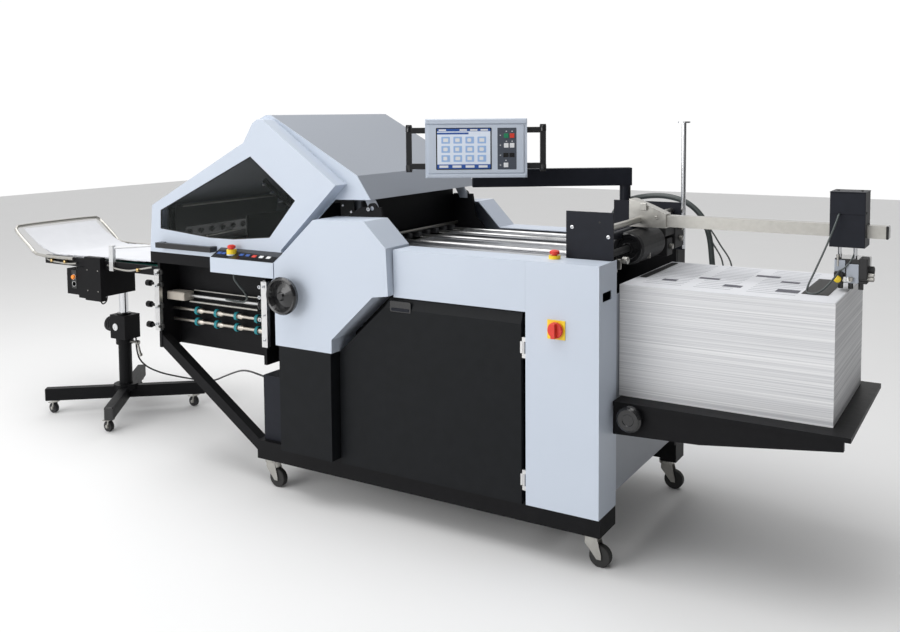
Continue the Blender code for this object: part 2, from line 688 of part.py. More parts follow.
def sucker_box():
    box = block("sucker_box", (HEAD_X - BOX_HALF, HEAD_X + BOX_HALF), (BOX_FRONT, BOX_FRONT + BOX_DEPTH),
                (BOX_BOTTOM, BOX_TOP), NAVY)
    half = ARM_SIZE / 2 + GAP
    channel = block("arm_channel", (HEAD_X - BOX_HALF - CUT, HEAD_X + BOX_HALF + CUT), (ARM_Y - half, ARM_Y + half),
                    (ARM_TOP - ARM_SIZE - GAP, ARM_TOP + GAP), NAVY)
    cut(box, channel)
    for index, x in enumerate(HEAD_RODS_X):
        bore = rod(f"rod_bore_{index}", (HEAD_X + x, HEAD_RODS_Y, BOX_BOTTOM - CUT),
                   (HEAD_X + x, HEAD_RODS_Y, RODS_TOP + HEAD_TRAVEL + COVER_WALL), HEAD_ROD + PIN_GAP, 12, NAVY)
        cut(box, bore)
    return box


def sucker_head():
    body_height, nozzle_length, nozzle = 0.068, 0.030, 0.008
    body_z = (HEAD_TOP - body_height, HEAD_TOP)
    nozzle_bottom = body_z[0] - nozzle_length
    first_nozzle, nozzle_pitch = 0.020, 0.030
    nozzles_x = [k * nozzle_pitch - first_nozzle for k in range(3)]
    body_x = (HEAD_X - HEAD_LEFT, HEAD_X + HEAD_RIGHT)
    head = block("sucker_head", body_x, (BOX_FRONT + COVER_WALL, BOX_FRONT + BOX_DEPTH - COVER_WALL), body_z, PLASTIC)
    for index, x in enumerate(HEAD_RODS_X):
        fuse(head, rod(f"head_rod_{index}", (HEAD_X + x, HEAD_RODS_Y, HEAD_TOP - COVER_WALL),
                       (HEAD_X + x, HEAD_RODS_Y, RODS_TOP), HEAD_ROD, 12, CHROME))
    for index, x in enumerate(nozzles_x):
        fuse(head, rod(f"nozzle_{index}", (HEAD_X + x, HEAD_RODS_Y + nozzle, nozzle_bottom),
                       (HEAD_X + x, HEAD_RODS_Y + nozzle, body_z[0] + COVER_WALL), nozzle, 12, RUBBER))
    return head


# Pile, its lifting table and the side-guide knob
PILE_TABLE_FRONT = 0.115
PILE_TABLE_BACK = 0.766
TABLE_SHEET = 0.015
BEAM_WALL = 0.020
BEAM_SHARES = ((0.0, 0.0), (0.40, 0.12), (1.0, 0.66), (1.0, 1.0), (0.0, 1.0))
BEAM_DROP = 0.110
BEAM_BOTTOM = PILE_TABLE_TOP - BEAM_DROP
KNOB_X = 0.076
KNOB_DROP = 0.045
KNOB_Z = PILE_TABLE_TOP - KNOB_DROP
KNOB_RADIUS = 0.0425


def pile_table():
    under = PILE_TABLE_TOP - TABLE_SHEET
    top = block("pile_table", (PILE_TABLE_LEFT, PILE_TABLE_RIGHT), (PILE_TABLE_FRONT, PILE_TABLE_BACK),
                (under, PILE_TABLE_TOP), BLACK)
    outline = scaled(BEAM_SHARES, PILE_TABLE_LEFT, PILE_TABLE_RIGHT - BEAM_WALL, BEAM_BOTTOM, under + COVER_WALL)
    for name, start in (("front_beam", PILE_TABLE_FRONT + COVER_WALL),
                        ("rear_beam", PILE_TABLE_BACK - COVER_WALL - BEAM_WALL)):
        fuse(top, prism(name, outline, "Y", start, start + BEAM_WALL, BLACK))
    carriage_z = (BEAM_BOTTOM + COVER_WALL, PILE_TABLE_TOP - COVER_WALL)
    carriage_back = MAST_FRONT + MAST_DEPTH / 2
    carriage = block("lift_carriage", (PILE_TABLE_LEFT, PILE_TABLE_LEFT + BEAM_WALL),
                     (PILE_TABLE_BACK - COVER_WALL - BEAM_WALL / 2, carriage_back), carriage_z, ZINC)
    shoe = block("lift_shoe", (MAST_RIGHT + GAP, PILE_TABLE_LEFT + BEAM_WALL / 2), (MAST_FRONT, carriage_back),
                 carriage_z, ZINC)
    return fuse(top, carriage, shoe)


def paper_pile():
    return block("paper_pile", (PILE_LEFT, PILE_RIGHT), (PILE_FRONT, PILE_BACK),
                 (PILE_TABLE_TOP + GAP, PILE_TOP), PAPER)


def table_knob():
    seat = PILE_TABLE_FRONT + COVER_WALL - GAP
    boss, depth, lip = 0.008, 0.034, 0.005
    profile = [(0, KNOB_RADIUS / 3), (boss, KNOB_RADIUS / 3), (boss + GAP, KNOB_RADIUS - lip),
               (boss + lip, KNOB_RADIUS), (depth - lip, KNOB_RADIUS), (depth, KNOB_RADIUS - lip)]
    return turned("table_knob", profile, (KNOB_X, seat, KNOB_Z), (0, -1, 0), 20, PLASTIC)


# Touch panel on its swinging arm
def turned_block(name, centre, turn, x, y, z, material):
    """A box whose plan is turned about the vertical through a centre."""
    c, s = math.cos(turn), math.sin(turn)
    plan = [(x[0], y[0]), (x[1], y[0]), (x[1], y[1]), (x[0], y[1])]
    plan = [(centre[0] + c * a - s * b, centre[1] + s * a + c * b) for a, b in plan]
    return prism(name, plan, "Z", z[0], z[1], material)


PANEL_ARM_SECTION = (0.045, 0.070)
TILT_INSET = 0.030
TILT_X = POST_X + (PANEL_ARM_LENGTH - TILT_INSET) * math.cos(PANEL_ARM_TURN)
TILT_Y = POST_Y + (PANEL_ARM_LENGTH - TILT_INSET) * math.sin(PANEL_ARM_TURN)
TILT_RISE = 0.031
TILT_Z = PANEL_ARM_TOP + TILT_RISE
TILT_PIN = 0.004
TILT_LUG = 0.008


def along_panel(distance):
    """A point at the tilt pin's height, this far along the panel's width from the pin's middle."""
    return (TILT_X + distance * math.cos(PANEL_TURN), TILT_Y + distance * math.sin(PANEL_TURN), TILT_Z)


def control_arm():
    post = 0.022
    half = PANEL_ARM_SECTION[0] / 2
    arm = rod("control_arm", (POST_X, POST_Y, REAR_TOP + GAP), (POST_X, POST_Y, PANEL_ARM_TOP), post, 16, NAVY)
    beam = turned_block("arm_beam", (POST_X, POST_Y), PANEL_ARM_TURN, (-half, PANEL_ARM_LENGTH), (-half, half),
                        (PANEL_ARM_TOP - PANEL_ARM_SECTION[1], PANEL_ARM_TOP), NAVY)
    lug_z = (PANEL_ARM_TOP - COVER_WALL, TILT_Z + 4 * TILT_PIN)
    lug = turned_block("tilt_lug", (TILT_X, TILT_Y), PANEL_TURN, (-TILT_LUG / 2, TILT_LUG / 2),
                       (-4 * TILT_PIN, 4 * TILT_PIN), lug_z, NAVY)
    hole = rod("tilt_hole", along_panel(-CUT), along_panel(CUT), TILT_PIN + PIN_GAP, 12, NAVY)
    return cut(fuse(arm, beam, lug), hole)


PANEL_DEPTH = 0.060
PANEL_OFFSET = -0.018
PANEL_STAND_OFF = 0.062
GRIP_REACH = 0.074
GRIP_BAR = 0.022


def touch_panel():
    centre = (TILT_X, TILT_Y)
    left, right = PANEL_OFFSET - PANEL_WIDTH / 2, PANEL_OFFSET + PANEL_WIDTH / 2
    back = -PANEL_STAND_OFF
    top = PANEL_BOTTOM + PANEL_HEIGHT
    panel = turned_block("touch_panel", centre, PANEL_TURN, (left, right), (back - PANEL_DEPTH, back),
                         (PANEL_BOTTOM, top), PALE)
    cheek = 5 * TILT_PIN
    slot_half = TILT_LUG / 2 + GAP
    bracket = turned_block("tilt_bracket", centre, PANEL_TURN, (-cheek, cheek), (back - COVER_WALL, cheek),
                           (TILT_Z - cheek, TILT_Z + cheek), NAVY)
    slot = turned_block("tilt_slot", centre, PANEL_TURN, (-slot_half, slot_half), (-1.6 * cheek, cheek + CUT),
                        (TILT_Z - cheek - CUT, TILT_Z + cheek + CUT), NAVY)
    pin = rod("tilt_pin", along_panel(-cheek / 2), along_panel(cheek / 2), TILT_PIN, 12, ZINC)
    fuse(panel, bracket)
    cut(panel, slot)
    fuse(panel, pin)
    grip_y = (back - PANEL_DEPTH * 0.75, back - PANEL_DEPTH * 0.75 + GRIP_BAR)
    arm_y = (grip_y[0] + GAP, grip_y[1] - GAP)
    low, high = PANEL_BOTTOM + GRIP_BAR, top - GRIP_BAR
    step = GRIP_BAR / 2
    for side, edge in ((-1.0, left), (1.0, right)):
        outer = edge + side * GRIP_REACH
        inner = outer - side * GRIP_BAR
        name = "left" if side < 0 else "right"
        grip = turned_block(f"{name}_grip", centre, PANEL_TURN, sorted((inner, outer)), grip_y, (low, high), NAVY)
        fuse(panel, grip)
        for level, z in (("low", (low + step, low + step + GRIP_BAR)), ("high", (high - step - GRIP_BAR, high - step))):
            fuse(panel, turned_block(f"{name}_{level}_arm", centre, PANEL_TURN,
                                     sorted((edge - side * COVER_WALL, outer - side * COVER_WALL)), arm_y, z, NAVY))
    return panel


# Hood: a pale front shell with a window and a grey roof behind it
HOOD_RIGHT = -0.945
FRONT_SHELL_SHARES = ((0.0, 0.0), (0.658, 0.0), (0.658, 0.094), (0.902, 0.545), (0.584, 0.969), (0.560, 0.972),
                      (0.537, 0.945), (0.492, 0.810), (0.458, 0.779), (0.016, 0.344))
ROOF_SHARES = ((0.658, 0.0), (0.658, 0.094), (0.851, 0.439), (1.0, 0.448), (0.945, 0.602), (0.658, 0.905),
               (0.568, 0.998), (0.545, 1.0), (0.512, 0.971), (0.490, 0.900), (0.450, 0.812), (0.016, 0.344),
               (0.0, 0.0))
WINDOW_SHARES = ((0.524, 0.720), (0.726, 0.432), (0.606, 0.170), (0.435, 0.138), (0.315, 0.136), (0.059, 0.175),
                 (0.062, 0.312))
GLASS_LAP = 0.010
GLASS_WALL = 0.004


def in_hood(shares):
    return scaled(shares, HOOD_LEFT, HOOD_RIGHT, HOOD_BOTTOM, HOOD_TOP)


def hood_front_shell():
    handle_x, handle_z = (-1.990, -1.670), (0.940, 0.962)
    handle_y, foot = (-0.008, 0.012), 0.026
    shell = tray("hood_front_shell", in_hood(FRONT_SHELL_SHARES), HOOD_FRONT, HOOD_SEAM - GAP, PALE)
    window = prism("window_hole", in_hood(WINDOW_SHARES), "Y", HOOD_FRONT - CUT, HOOD_FRONT + CUT, PALE)
    bar = block("hood_handle", handle_x, handle_y, handle_z, BLACK)
    for index, x in enumerate((handle_x[0], handle_x[1] - foot)):
        fuse(bar, block(f"handle_foot_{index}", (x, x + foot), (handle_y[0], HOOD_FRONT + COVER_WALL / 2),
                        handle_z, BLACK))
    cut(shell, window)
    return fuse(shell, bar)


def hood_window():
    outline = inset(in_hood(WINDOW_SHARES), -GLASS_LAP)
    front = HOOD_FRONT + COVER_WALL + GAP
    return prism("hood_window", outline, "Y", front, front + GLASS_WALL, GLASS)


SEAM_RIM = 0.015
EAR_SHARES = ((0.27, 1.0), (0.778, 0.466), (1.0, 0.20), (1.0, 0.0), (0.54, 0.0), (0.32, 0.30), (0.0, 0.756))


def hood_rear_shell():
    outline = in_hood(ROOF_SHARES)
    shell = prism("hood_rear_shell", outline, "Y", HOOD_SEAM, HOOD_BACK, HOOD_GREY)
    inner = inset(outline, COVER_WALL)[3:]
    below = HOOD_BOTTOM - CUT
    hollow = [(inner[0][0], below)] + inner[:-1] + [(inner[-1][0], below)]
    tool = prism("roof_hollow", hollow, "Y", HOOD_SEAM + COVER_WALL, HOOD_BACK - COVER_WALL, HOOD_GREY)
    mouth = inset(in_hood(FRONT_SHELL_SHARES), SEAM_RIM)
    mouth = [(x, below) if z < HOOD_BOTTOM + 2 * SEAM_RIM and k in (0, 1) else (x, z) for k, (x, z) in enumerate(mouth)]
    opening = prism("seam_opening", mouth, "Y", HOOD_SEAM - CUT, HOOD_SEAM + CUT, HOOD_GREY)
    cut(shell, tool, opening)
    ear_z = HINGE_Z - HINGE_EYE * 0.7
    ears = scaled(EAR_SHARES, HINGE_X - 3 * HINGE_EYE, HINGE_X + 0.9 * HINGE_EYE, ear_z, HINGE_Z + 4.72 * HINGE_EYE)
    front_ear = FRONT_PLATE_FRONT + PLATE_WALL + GAP
    rear_ear = REAR_PLATE_FRONT - GAP
    for name, inside, far in (("front", front_ear, FRONT_PLATE_FRONT + 2 * GAP),
                              ("rear", rear_ear, REAR_PLATE_FRONT + PLATE_WALL - 2 * GAP)):
        toward = math.copysign(FEEDER_PLATE, inside - far)
        ear = prism(f"{name}_ear", ears, "Y", inside, inside + toward, HOOD_GREY)
        pin = rod(f"{name}_pin", (HINGE_X, min(far, inside + toward / 2), HINGE_Z),
                  (HINGE_X, max(far, inside + toward / 2), HINGE_Z), HINGE_PIN, 16, ZINC)
        fuse(shell, ear, pin)
    return shell


# Fold unit: cross-fold frame, slitter drive and nip shafts
UNIT_TOP = HOOD_BOTTOM - GAP
SLOT_FRONT = 0.190
SLOT_BACK = 0.780
SLOT_LOW = 0.770
SLOT_HIGH = 0.835
KNOB_HEAD = 0.0135
KNOB_HEAD_LENGTH = 0.022
TOP_BEAM = 0.046
GUARD_FRONT = 0.158
BAR_FRONT = 0.035


def fold_unit_frame():
    plate_top = UNIT_TOP - TOP_BEAM / 2
    beam_z = (UNIT_TOP - TOP_BEAM, UNIT_TOP)
    beam_depth = 0.060
    front_beam_y = (HOOD_FRONT, HOOD_FRONT + beam_depth)
    rear_beam_y = (HOOD_BACK - beam_depth, HOOD_BACK)
    front_beam_right = FOLD_LEFT - UNIT_WALL / 3
    frame = block("fold_unit_frame", (HOOD_LEFT, front_beam_right), front_beam_y, beam_z, BLACK)
    right_plate = (UNIT_RIGHT - UNIT_WALL, UNIT_RIGHT)
    left_plate = (UNIT_LEFT, UNIT_LEFT + UNIT_WALL)
    pieces = [
        block("unit_rear_beam", (HOOD_LEFT, UNIT_RIGHT), rear_beam_y, beam_z, BLACK),
        block("unit_left_beam", (HOOD_LEFT, HOOD_LEFT + beam_depth), (HOOD_FRONT, HOOD_BACK), beam_z, BLACK),
        block("unit_left_plate", left_plate, (UNIT_FRONT, UNIT_BACK), (UNIT_BOTTOM, plate_top), BLACK),
        block("unit_right_plate", right_plate, (UNIT_FRONT, UNIT_BACK), (UNIT_BOTTOM, plate_top), BLACK),
        block("front_guard", (UNIT_LEFT + UNIT_WALL / 2, UNIT_RIGHT - UNIT_WALL / 2),
              (GUARD_FRONT, GUARD_FRONT + COVER_WALL), (UNIT_BOTTOM, plate_top), BLACK),
    ]
    slot = block("delivery_slot", (UNIT_LEFT - CUT, UNIT_LEFT + CUT), (SLOT_FRONT, SLOT_BACK), (SLOT_LOW, SLOT_HIGH),
                 BLACK)
    fuse(frame, *pieces)
    bar_z, bar_wide, bar_proud, bar_shift = (0.571, 0.835), 0.029, 0.007, 0.018
    for name, x in (("left_bar", (UNIT_LEFT - bar_proud, UNIT_LEFT - bar_proud + bar_wide)),
                    ("right_bar", (UNIT_RIGHT + bar_shift - bar_wide, UNIT_RIGHT + bar_shift))):
        fuse(frame, block(name, x, (BAR_FRONT, UNIT_FRONT + COVER_WALL), bar_z, ZINC))
    stem, reach = 0.006, 0.060
    screws_z = (0.591, 0.680, 0.773)
    for index, z in enumerate(screws_z):
        fuse(frame, turned(f"adjuster_screw_{index}", [(0, KNOB_HEAD), (KNOB_HEAD_LENGTH, KNOB_HEAD),
                                                       (KNOB_HEAD_LENGTH + GAP, stem), (reach, stem)],
                           (UNIT_LEFT - reach, UNIT_FRONT - stem, z), (1, 0, 0), 12, PLASTIC))
    return cut(frame, slot)


NIP_Y = 0.125
NIP_SHAFT = 0.007
NIP_UPPER_Z = 0.657
NIP_LOWER_Z = 0.609
TYRE_RADIUS = 0.0175
TYRE_WIDTH = 0.014
COLLAR_LENGTH = 0.030


def nip_shaft(name, z):
    """A shaft with teal tyres at even steps, each beside a tapered collar."""
    left = UNIT_LEFT + UNIT_WALL + GAP
    length = UNIT_RIGHT - UNIT_WALL - GAP - left
    first_share, step_share = 0.235, 0.195
    collar = NIP_SHAFT * 1.75
    profile = [(0, NIP_SHAFT)]
    for k in range(4):
        start = length * (first_share + k * step_share)
        profile += [(start, NIP_SHAFT), (start + GAP, TYRE_RADIUS), (start + TYRE_WIDTH, TYRE_RADIUS),
                    (start + TYRE_WIDTH + GAP, collar), (start + TYRE_WIDTH + COLLAR_LENGTH / 2, collar),
                    (start + TYRE_WIDTH + COLLAR_LENGTH, NIP_SHAFT)]
    profile.append((length, NIP_SHAFT))
    return turned(name, profile, (left, NIP_Y, z), (1, 0, 0), 14, TEAL)


def slitter_drive():
    left = UNIT_LEFT + UNIT_WALL + GAP
    right = UNIT_RIGHT - UNIT_WALL - GAP
    motor_length, motor_y, motor_z = 0.105, (0.085, 0.140), (0.702, 0.736)
    motor_x = (left, left + motor_length)
    bar, thin, clutch = 0.008, 0.005, 0.020
    bar_z = (motor_z[0] + motor_z[1]) / 2
    motor = block("slitter_drive", motor_x, motor_y, motor_z, BEIGE)
    return fuse(
        motor,
        rod("slitter_bar", (motor_x[1] - COVER_WALL, NIP_Y, bar_z), (right, NIP_Y, bar_z), bar, 12, STEEL),
        rod("slitter_clutch", (right - 4 * clutch, NIP_Y, bar_z), (right - 2 * clutch, NIP_Y, bar_z), clutch, 14, BLACK),
    )


def fold_unit_brace():
    left = UNIT_LEFT + UNIT_WALL + GAP
    right = FRAME_LEFT - GAP
    depth = (UNIT_FRONT + COVER_WALL, UNIT_FRONT + 3 * UNIT_WALL)
    upper, lower = (0.550, 0.497), (0.180, 0.127)
    outline = [(left, upper[1]), (right, lower[1]), (right, lower[0]), (left, upper[0])]
    return prism("fold_unit_brace", outline, "Y", depth[0], depth[1], BLACK)


PUMP_LEFT = FRAME_LEFT + COVER_WALL * 6


def pump_box():
    width, front, back, height = 0.163, 0.060, 0.360, 0.263
    return block("pump_box", (PUMP_LEFT, PUMP_LEFT + width), (front, back), (FRAME_TOP + GAP, FRAME_TOP + height), NAVY)


# Control box on the fold unit
SUB_LEFT = -1.645
SUB_RIGHT = -1.312
SUB_FRONT = -0.035
SUB_DROP = 0.0473
SUB_FRONT_RISE = 0.0117
SUB_BACK_RISE = 0.0447
SUB_SHELF_RISE = 0.0347
SUB_BOTTOM = HOOD_BOTTOM - SUB_DROP
SUB_FRONT_TOP = HOOD_BOTTOM + SUB_FRONT_RISE
SUB_BACK_TOP = HOOD_BOTTOM + SUB_BACK_RISE
SUB_BUTTON_X = -1.556
SUB_BUTTON_Y = -0.004
SUB_SHELF = HOOD_BOTTOM + SUB_SHELF_RISE


def sub_panel():
    back = HOOD_FRONT - GAP
    outline = [(SUB_FRONT, SUB_BOTTOM), (back, SUB_BOTTOM), (back, SUB_BACK_TOP), (SUB_FRONT, SUB_FRONT_TOP)]
    box = prism("sub_panel", outline, "X", SUB_LEFT, SUB_RIGHT, PALE)
    collar = button_collar("sub_collar", SUB_BUTTON_X, SUB_BUTTON_Y, SUB_SHELF, COLLAR_HEIGHT)
    return fuse(box, collar)


# Handwheel, fold roller and buckle plate
HANDWHEEL_FRONT = -0.098


def handwheel():
    rim, hub = 0.0725, 0.018
    end = FRONT_PLATE_FRONT - GAP - HANDWHEEL_FRONT
    profile = [(0, hub * 0.7), (0.008, hub), (0.022, rim * 0.70), (0.004, rim * 0.84), (0.001, rim * 0.93),
               (0.010, rim), (0.024, rim * 0.97), (0.034, rim * 0.62), (0.042, hub), (0.050, WHEEL_SHAFT),
               (end, WHEEL_SHAFT)]
    return turned("handwheel", profile, (WHEEL_X, HANDWHEEL_FRONT, WHEEL_Z), (0, 1, 0), 28, PLASTIC)


ROLLER_X = -1.060
ROLLER_DROP = 0.037
ROLLER_Z = TABLE_HEIGHT - ROLLER_DROP
ROLLER_RADIUS = 0.032


def fold_roller():
    start = FRONT_PLATE_FRONT + PLATE_WALL + GAP
    end = REAR_PLATE_FRONT - GAP
    neck, journal = 0.030, 0.012
    profile = [(0, journal), (neck, journal), (neck + GAP, ROLLER_RADIUS), (end - start - neck - GAP, ROLLER_RADIUS),
               (end - start - neck, journal), (end - start, journal)]
    return turned("fold_roller", profile, (ROLLER_X, start, ROLLER_Z), (0, 1, 0), 20, STEEL)


def buckle_plate():
    """A slanted grid plate between the side plates, above the fold roller."""
    start = FRONT_PLATE_FRONT + PLATE_WALL + GAP
    end = REAR_PLATE_FRONT - GAP
    foot_left, head_left, foot_drop, head_rise, wall = 0.300, 0.150, 0.107, 0.058, 0.018
    foot = (ROLLER_X - foot_left, TABLE_HEIGHT - foot_drop)
    head = (ROLLER_X - head_left, TABLE_HEIGHT + head_rise)
    run = Vector(head) - Vector(foot)
    side = Vector((-run.y, run.x)).normalized() * wall
    outline = [foot, head, tuple(Vector(head) + side), tuple(Vector(foot) + side)]
    return prism("buckle_plate", outline, "Y", start, end, ZINC)


# Main switch
def main_switch_knob():
    body, depth, bar = 0.027, 0.014, 0.007
    seat = -SWITCH_PLATE_PROUD - GAP
    knob = turned("main_switch_knob", [(0, body * 0.93), (depth * 0.6, body), (depth, body * 0.9)],
                  (SWITCH_X, seat, SWITCH_Z), (0, -1, 0), 20, RED)
    grip = block("switch_grip", (SWITCH_X - bar, SWITCH_X + bar), (seat - 2 * depth, seat - depth / 2),
                 (SWITCH_Z - body * 0.9, SWITCH_Z + body * 0.9), RED)
    return fuse(knob, grip)


# Casters of the machine
CASTER_PLATE = 0.031
CASTER_INSET_LEFT = 0.053
CASTER_INSET_RIGHT = 0.044
CASTER_TRAIL = 0.030
CASTER_X = (FRAME_LEFT + CASTER_INSET_LEFT, PLATE_RIGHT - CASTER_INSET_RIGHT)
CASTER_Y = ((0.066, 0.858), (0.078, 0.842))
WHEEL_HALF = 0.013
HUB_HALF = 0.0152
CHEEK_WALL = 0.003


def caster_fork(name, x, y):
    """A round top plate on the frame and two cheeks down to the axle."""
    top = FRAME_BOTTOM - GAP
    plate, plate_radius = 0.011, CASTER_PLATE
    fork = rod(name, (x, y, top - plate), (x, y, top), plate_radius, 16, ZINC)
    axle_x, axle_z = x + CASTER_TRAIL, WHEEL_RADIUS
    lap = 0.008
    cheek = [(x - plate_radius * 0.6, top - plate / 2), (x + plate_radius * 0.7, top - plate / 2),
             (axle_x + lap, axle_z + lap), (axle_x + lap, axle_z - lap), (axle_x - lap, axle_z - lap),
             (x - plate_radius * 0.6, top - plate * 3)]
    for side in (-1.0, 1.0):
        inner = y + side * (HUB_HALF + GAP)
        outer = inner + side * CHEEK_WALL
        fuse(fork, prism(f"{name}_cheek_{side:+.0f}", cheek, "Y", inner, outer, ZINC))
    return fork


def caster_wheel(name, x, y):
    hub, chamfer = 0.012, 0.003
    profile = [(-HUB_HALF, hub), (-WHEEL_HALF - GAP, hub), (-WHEEL_HALF, WHEEL_RADIUS - chamfer),
               (-WHEEL_HALF + chamfer, WHEEL_RADIUS), (WHEEL_HALF - chamfer, WHEEL_RADIUS),
               (WHEEL_HALF, WHEEL_RADIUS - chamfer), (WHEEL_HALF + GAP, hub), (HUB_HALF, hub)]
    return turned(name, profile, (x + CASTER_TRAIL, y, WHEEL_RADIUS), (0, 1, 0), 24, RUBBER)


# Delivery stand
BAR_WIDTH = 0.040
BAR_Z = (0.068, 0.1286)
BAR_TURNS = (math.radians(39), math.radians(-52))
POLE_RADIUS = 0.0225
POLE_BOTTOM = 0.200
CLAMP_Z = (0.374, 0.4946)
CLAMP_LEFT = 0.048
CLAMP_RIGHT = 0.060
CLAMP_X = (STAND_X - CLAMP_LEFT, STAND_X + CLAMP_RIGHT)
CLAMP_COLLAR = 0.043
COLLAR_DROP = 0.031
STAND_CASTER_REACH = 0.345
STAND_TRAIL = -0.016


def stand_base():
    half = BAR_WIDTH / 2
    column, flange, disc, disc_reach = 0.0325, 0.060, 0.038, 0.107
    middle = (CLAMP_Z[0] + CLAMP_Z[1]) / 2
    bars = [turned_block(f"stand_bar_{k}" if k else "stand_base", (STAND_X, STAND_Y), turn,
                         (-STAND_BAR / 2, STAND_BAR / 2), (-half, half), BAR_Z, BLACK)
            for k, turn in enumerate(BAR_TURNS)]
    pieces = [
        rod("stand_flange", (STAND_X, STAND_Y, BAR_Z[1] - half), (STAND_X, STAND_Y, BAR_Z[1] + half / 2), flange, 20,
            BLACK),
        rod("stand_column", (STAND_X, STAND_Y, BAR_Z[1]), (STAND_X, STAND_Y, CLAMP_Z[0] + half), column, 20, BLACK),
        rod("stand_collar", (STAND_X, STAND_Y, CLAMP_Z[0] - COLLAR_DROP), (STAND_X, STAND_Y, CLAMP_Z[0] + half / 2),
            CLAMP_COLLAR, 20, BLACK),
        block("stand_clamp", CLAMP_X, (STAND_Y - CLAMP_LEFT, STAND_Y + CLAMP_LEFT), CLAMP_Z, BLACK),
        rod("clamp_disc", (STAND_X - disc_reach, STAND_Y, middle), (STAND_X - half, STAND_Y, middle), disc, 16, BLACK),
    ]
    bore = rod("pole_bore", (STAND_X, STAND_Y, BAR_Z[1] + half), (STAND_X, STAND_Y, CLAMP_Z[1] + CUT),
               POLE_RADIUS + PIN_GAP, 20, BLACK)
    fuse(bars[0], bars[1], *pieces)
    return cut(bars[0], bore)


def stand_pole():
    return rod("stand_pole", (STAND_X, STAND_Y, POLE_BOTTOM), (STAND_X, STAND_Y, DRIVE_BOTTOM - GAP),
               POLE_RADIUS, 20, CHROME)


LEVER_DROP = 0.016
LEVER_Z = CLAMP_Z[0] - LEVER_DROP


def clamp_lever():
    """A clamping screw into the collar and its hanging handle."""
    start = STAND_X + CLAMP_COLLAR + GAP
    screw, stalk, reach, drop, slant = 0.007, 0.006, 0.050, 0.057, 0.020
    head = (start + reach, STAND_Y, LEVER_Z)
    tip = (start + reach + slant, STAND_Y, LEVER_Z - drop)
    lever = rod("clamp_lever", (start, STAND_Y, LEVER_Z), (start + reach + screw, STAND_Y, LEVER_Z), screw, 12, ZINC)
    return fuse(lever, rod("lever_stalk", head, tip, stalk, 10, ZINC))


def stand_caster(name, turn, side):
    """A locking caster whose wheel is held fast in its fork: the fork turns under the bar's end."""
    reach = side * STAND_CASTER_REACH
    x, y = STAND_X + reach * math.cos(turn), STAND_Y + reach * math.sin(turn)
    top = BAR_Z[0] - GAP
    plate, plate_radius, half, cheek = 0.008, 0.019, 0.010, 0.0035
    fork = rod(name, (x, y, top - plate), (x, y, top), plate_radius, 14, ZINC)
    wheel_x = x + STAND_TRAIL
    tyre = rod(name + "_tyre", (wheel_x, y - half, STAND_WHEEL_RADIUS), (wheel_x, y + half, STAND_WHEEL_RADIUS),
               STAND_WHEEL_RADIUS, 20, RUBBER)
    low = STAND_WHEEL_RADIUS - 2 * cheek
    side_plates = [(x - plate_radius * 0.6, top - plate / 2), (wheel_x + 3 * cheek, top - plate / 2),
                   (wheel_x + 3 * cheek, low), (wheel_x - 3 * cheek, low), (x - plate_radius * 0.6, top - 3 * plate)]
    bridge = prism(name + "_fork", side_plates, "Y", y - half - cheek, y + half + cheek, ZINC)
    return fuse(fork, bridge, tyre)


def conveyor_bed():
    sheet_drop, sheet_wall, rail_height, rail_wall = 0.0161, 0.008, 0.0413, 0.015
    sheet = (CONVEYOR_TOP - sheet_drop, CONVEYOR_TOP - sheet_drop + sheet_wall)
    rail = (CONVEYOR_TOP - rail_height, CONVEYOR_TOP)
    x = (CONVEYOR_LEFT, CONVEYOR_RIGHT)
    bed = block("conveyor_bed", x, (CONVEYOR_FRONT + COVER_WALL, CONVEYOR_BACK - COVER_WALL), sheet, BLACK)
    front_rail = block("front_rail", x, (CONVEYOR_FRONT, CONVEYOR_FRONT + rail_wall), rail, BLACK)
    rear_rail = block("rear_rail", x, (CONVEYOR_BACK - rail_wall, CONVEYOR_BACK), rail, BLACK)
    bracket_offset, bracket_wide, bracket_rise, bracket_wall = 0.1915, 0.028, 0.080, 0.014
    bracket_x = (STAND_X + bracket_offset, STAND_X + bracket_offset + bracket_wide)
    bracket_top = CONVEYOR_TOP + bracket_rise
    bracket = block("roller_bracket", bracket_x, (CONVEYOR_FRONT - bracket_wall, CONVEYOR_FRONT + COVER_WALL),
                    (rail[0], bracket_top), ZINC)
    rod_start = (bracket_x[0], CONVEYOR_FRONT - bracket_wall / 2, bracket_top - bracket_wall)
    rod_end = (CONVEYOR_RIGHT - bracket_wall, CONVEYOR_FRONT + 4 * bracket_wall, bracket_top + bracket_wall)
    arm = rod("roller_arm", rod_start, rod_end, bracket_wall * 0.4, 8, ZINC)
    roller = rod("press_roller", (rod_end[0], rod_end[1] - bracket_wall, rod_end[2]),
                 (rod_end[0], rod_end[1] + bracket_wall, rod_end[2]), bracket_wall * 1.2, 14, PAPER)
    return fuse(bed, front_rail, rear_rail, bracket, arm, roller)


DRIVE_RIGHT = 0.0535
DRIVE_WIDTH = 0.099
DRIVE_BACK = 0.032
SWITCH_BOX_WIDTH = 0.098
SWITCH_BOX_DEPTH = 0.141
UPRIGHT_LEFT = 0.0335
UPRIGHT_RIGHT = 0.1465
UPRIGHT_WALL = 0.030
UPRIGHT_RISE = 0.0172


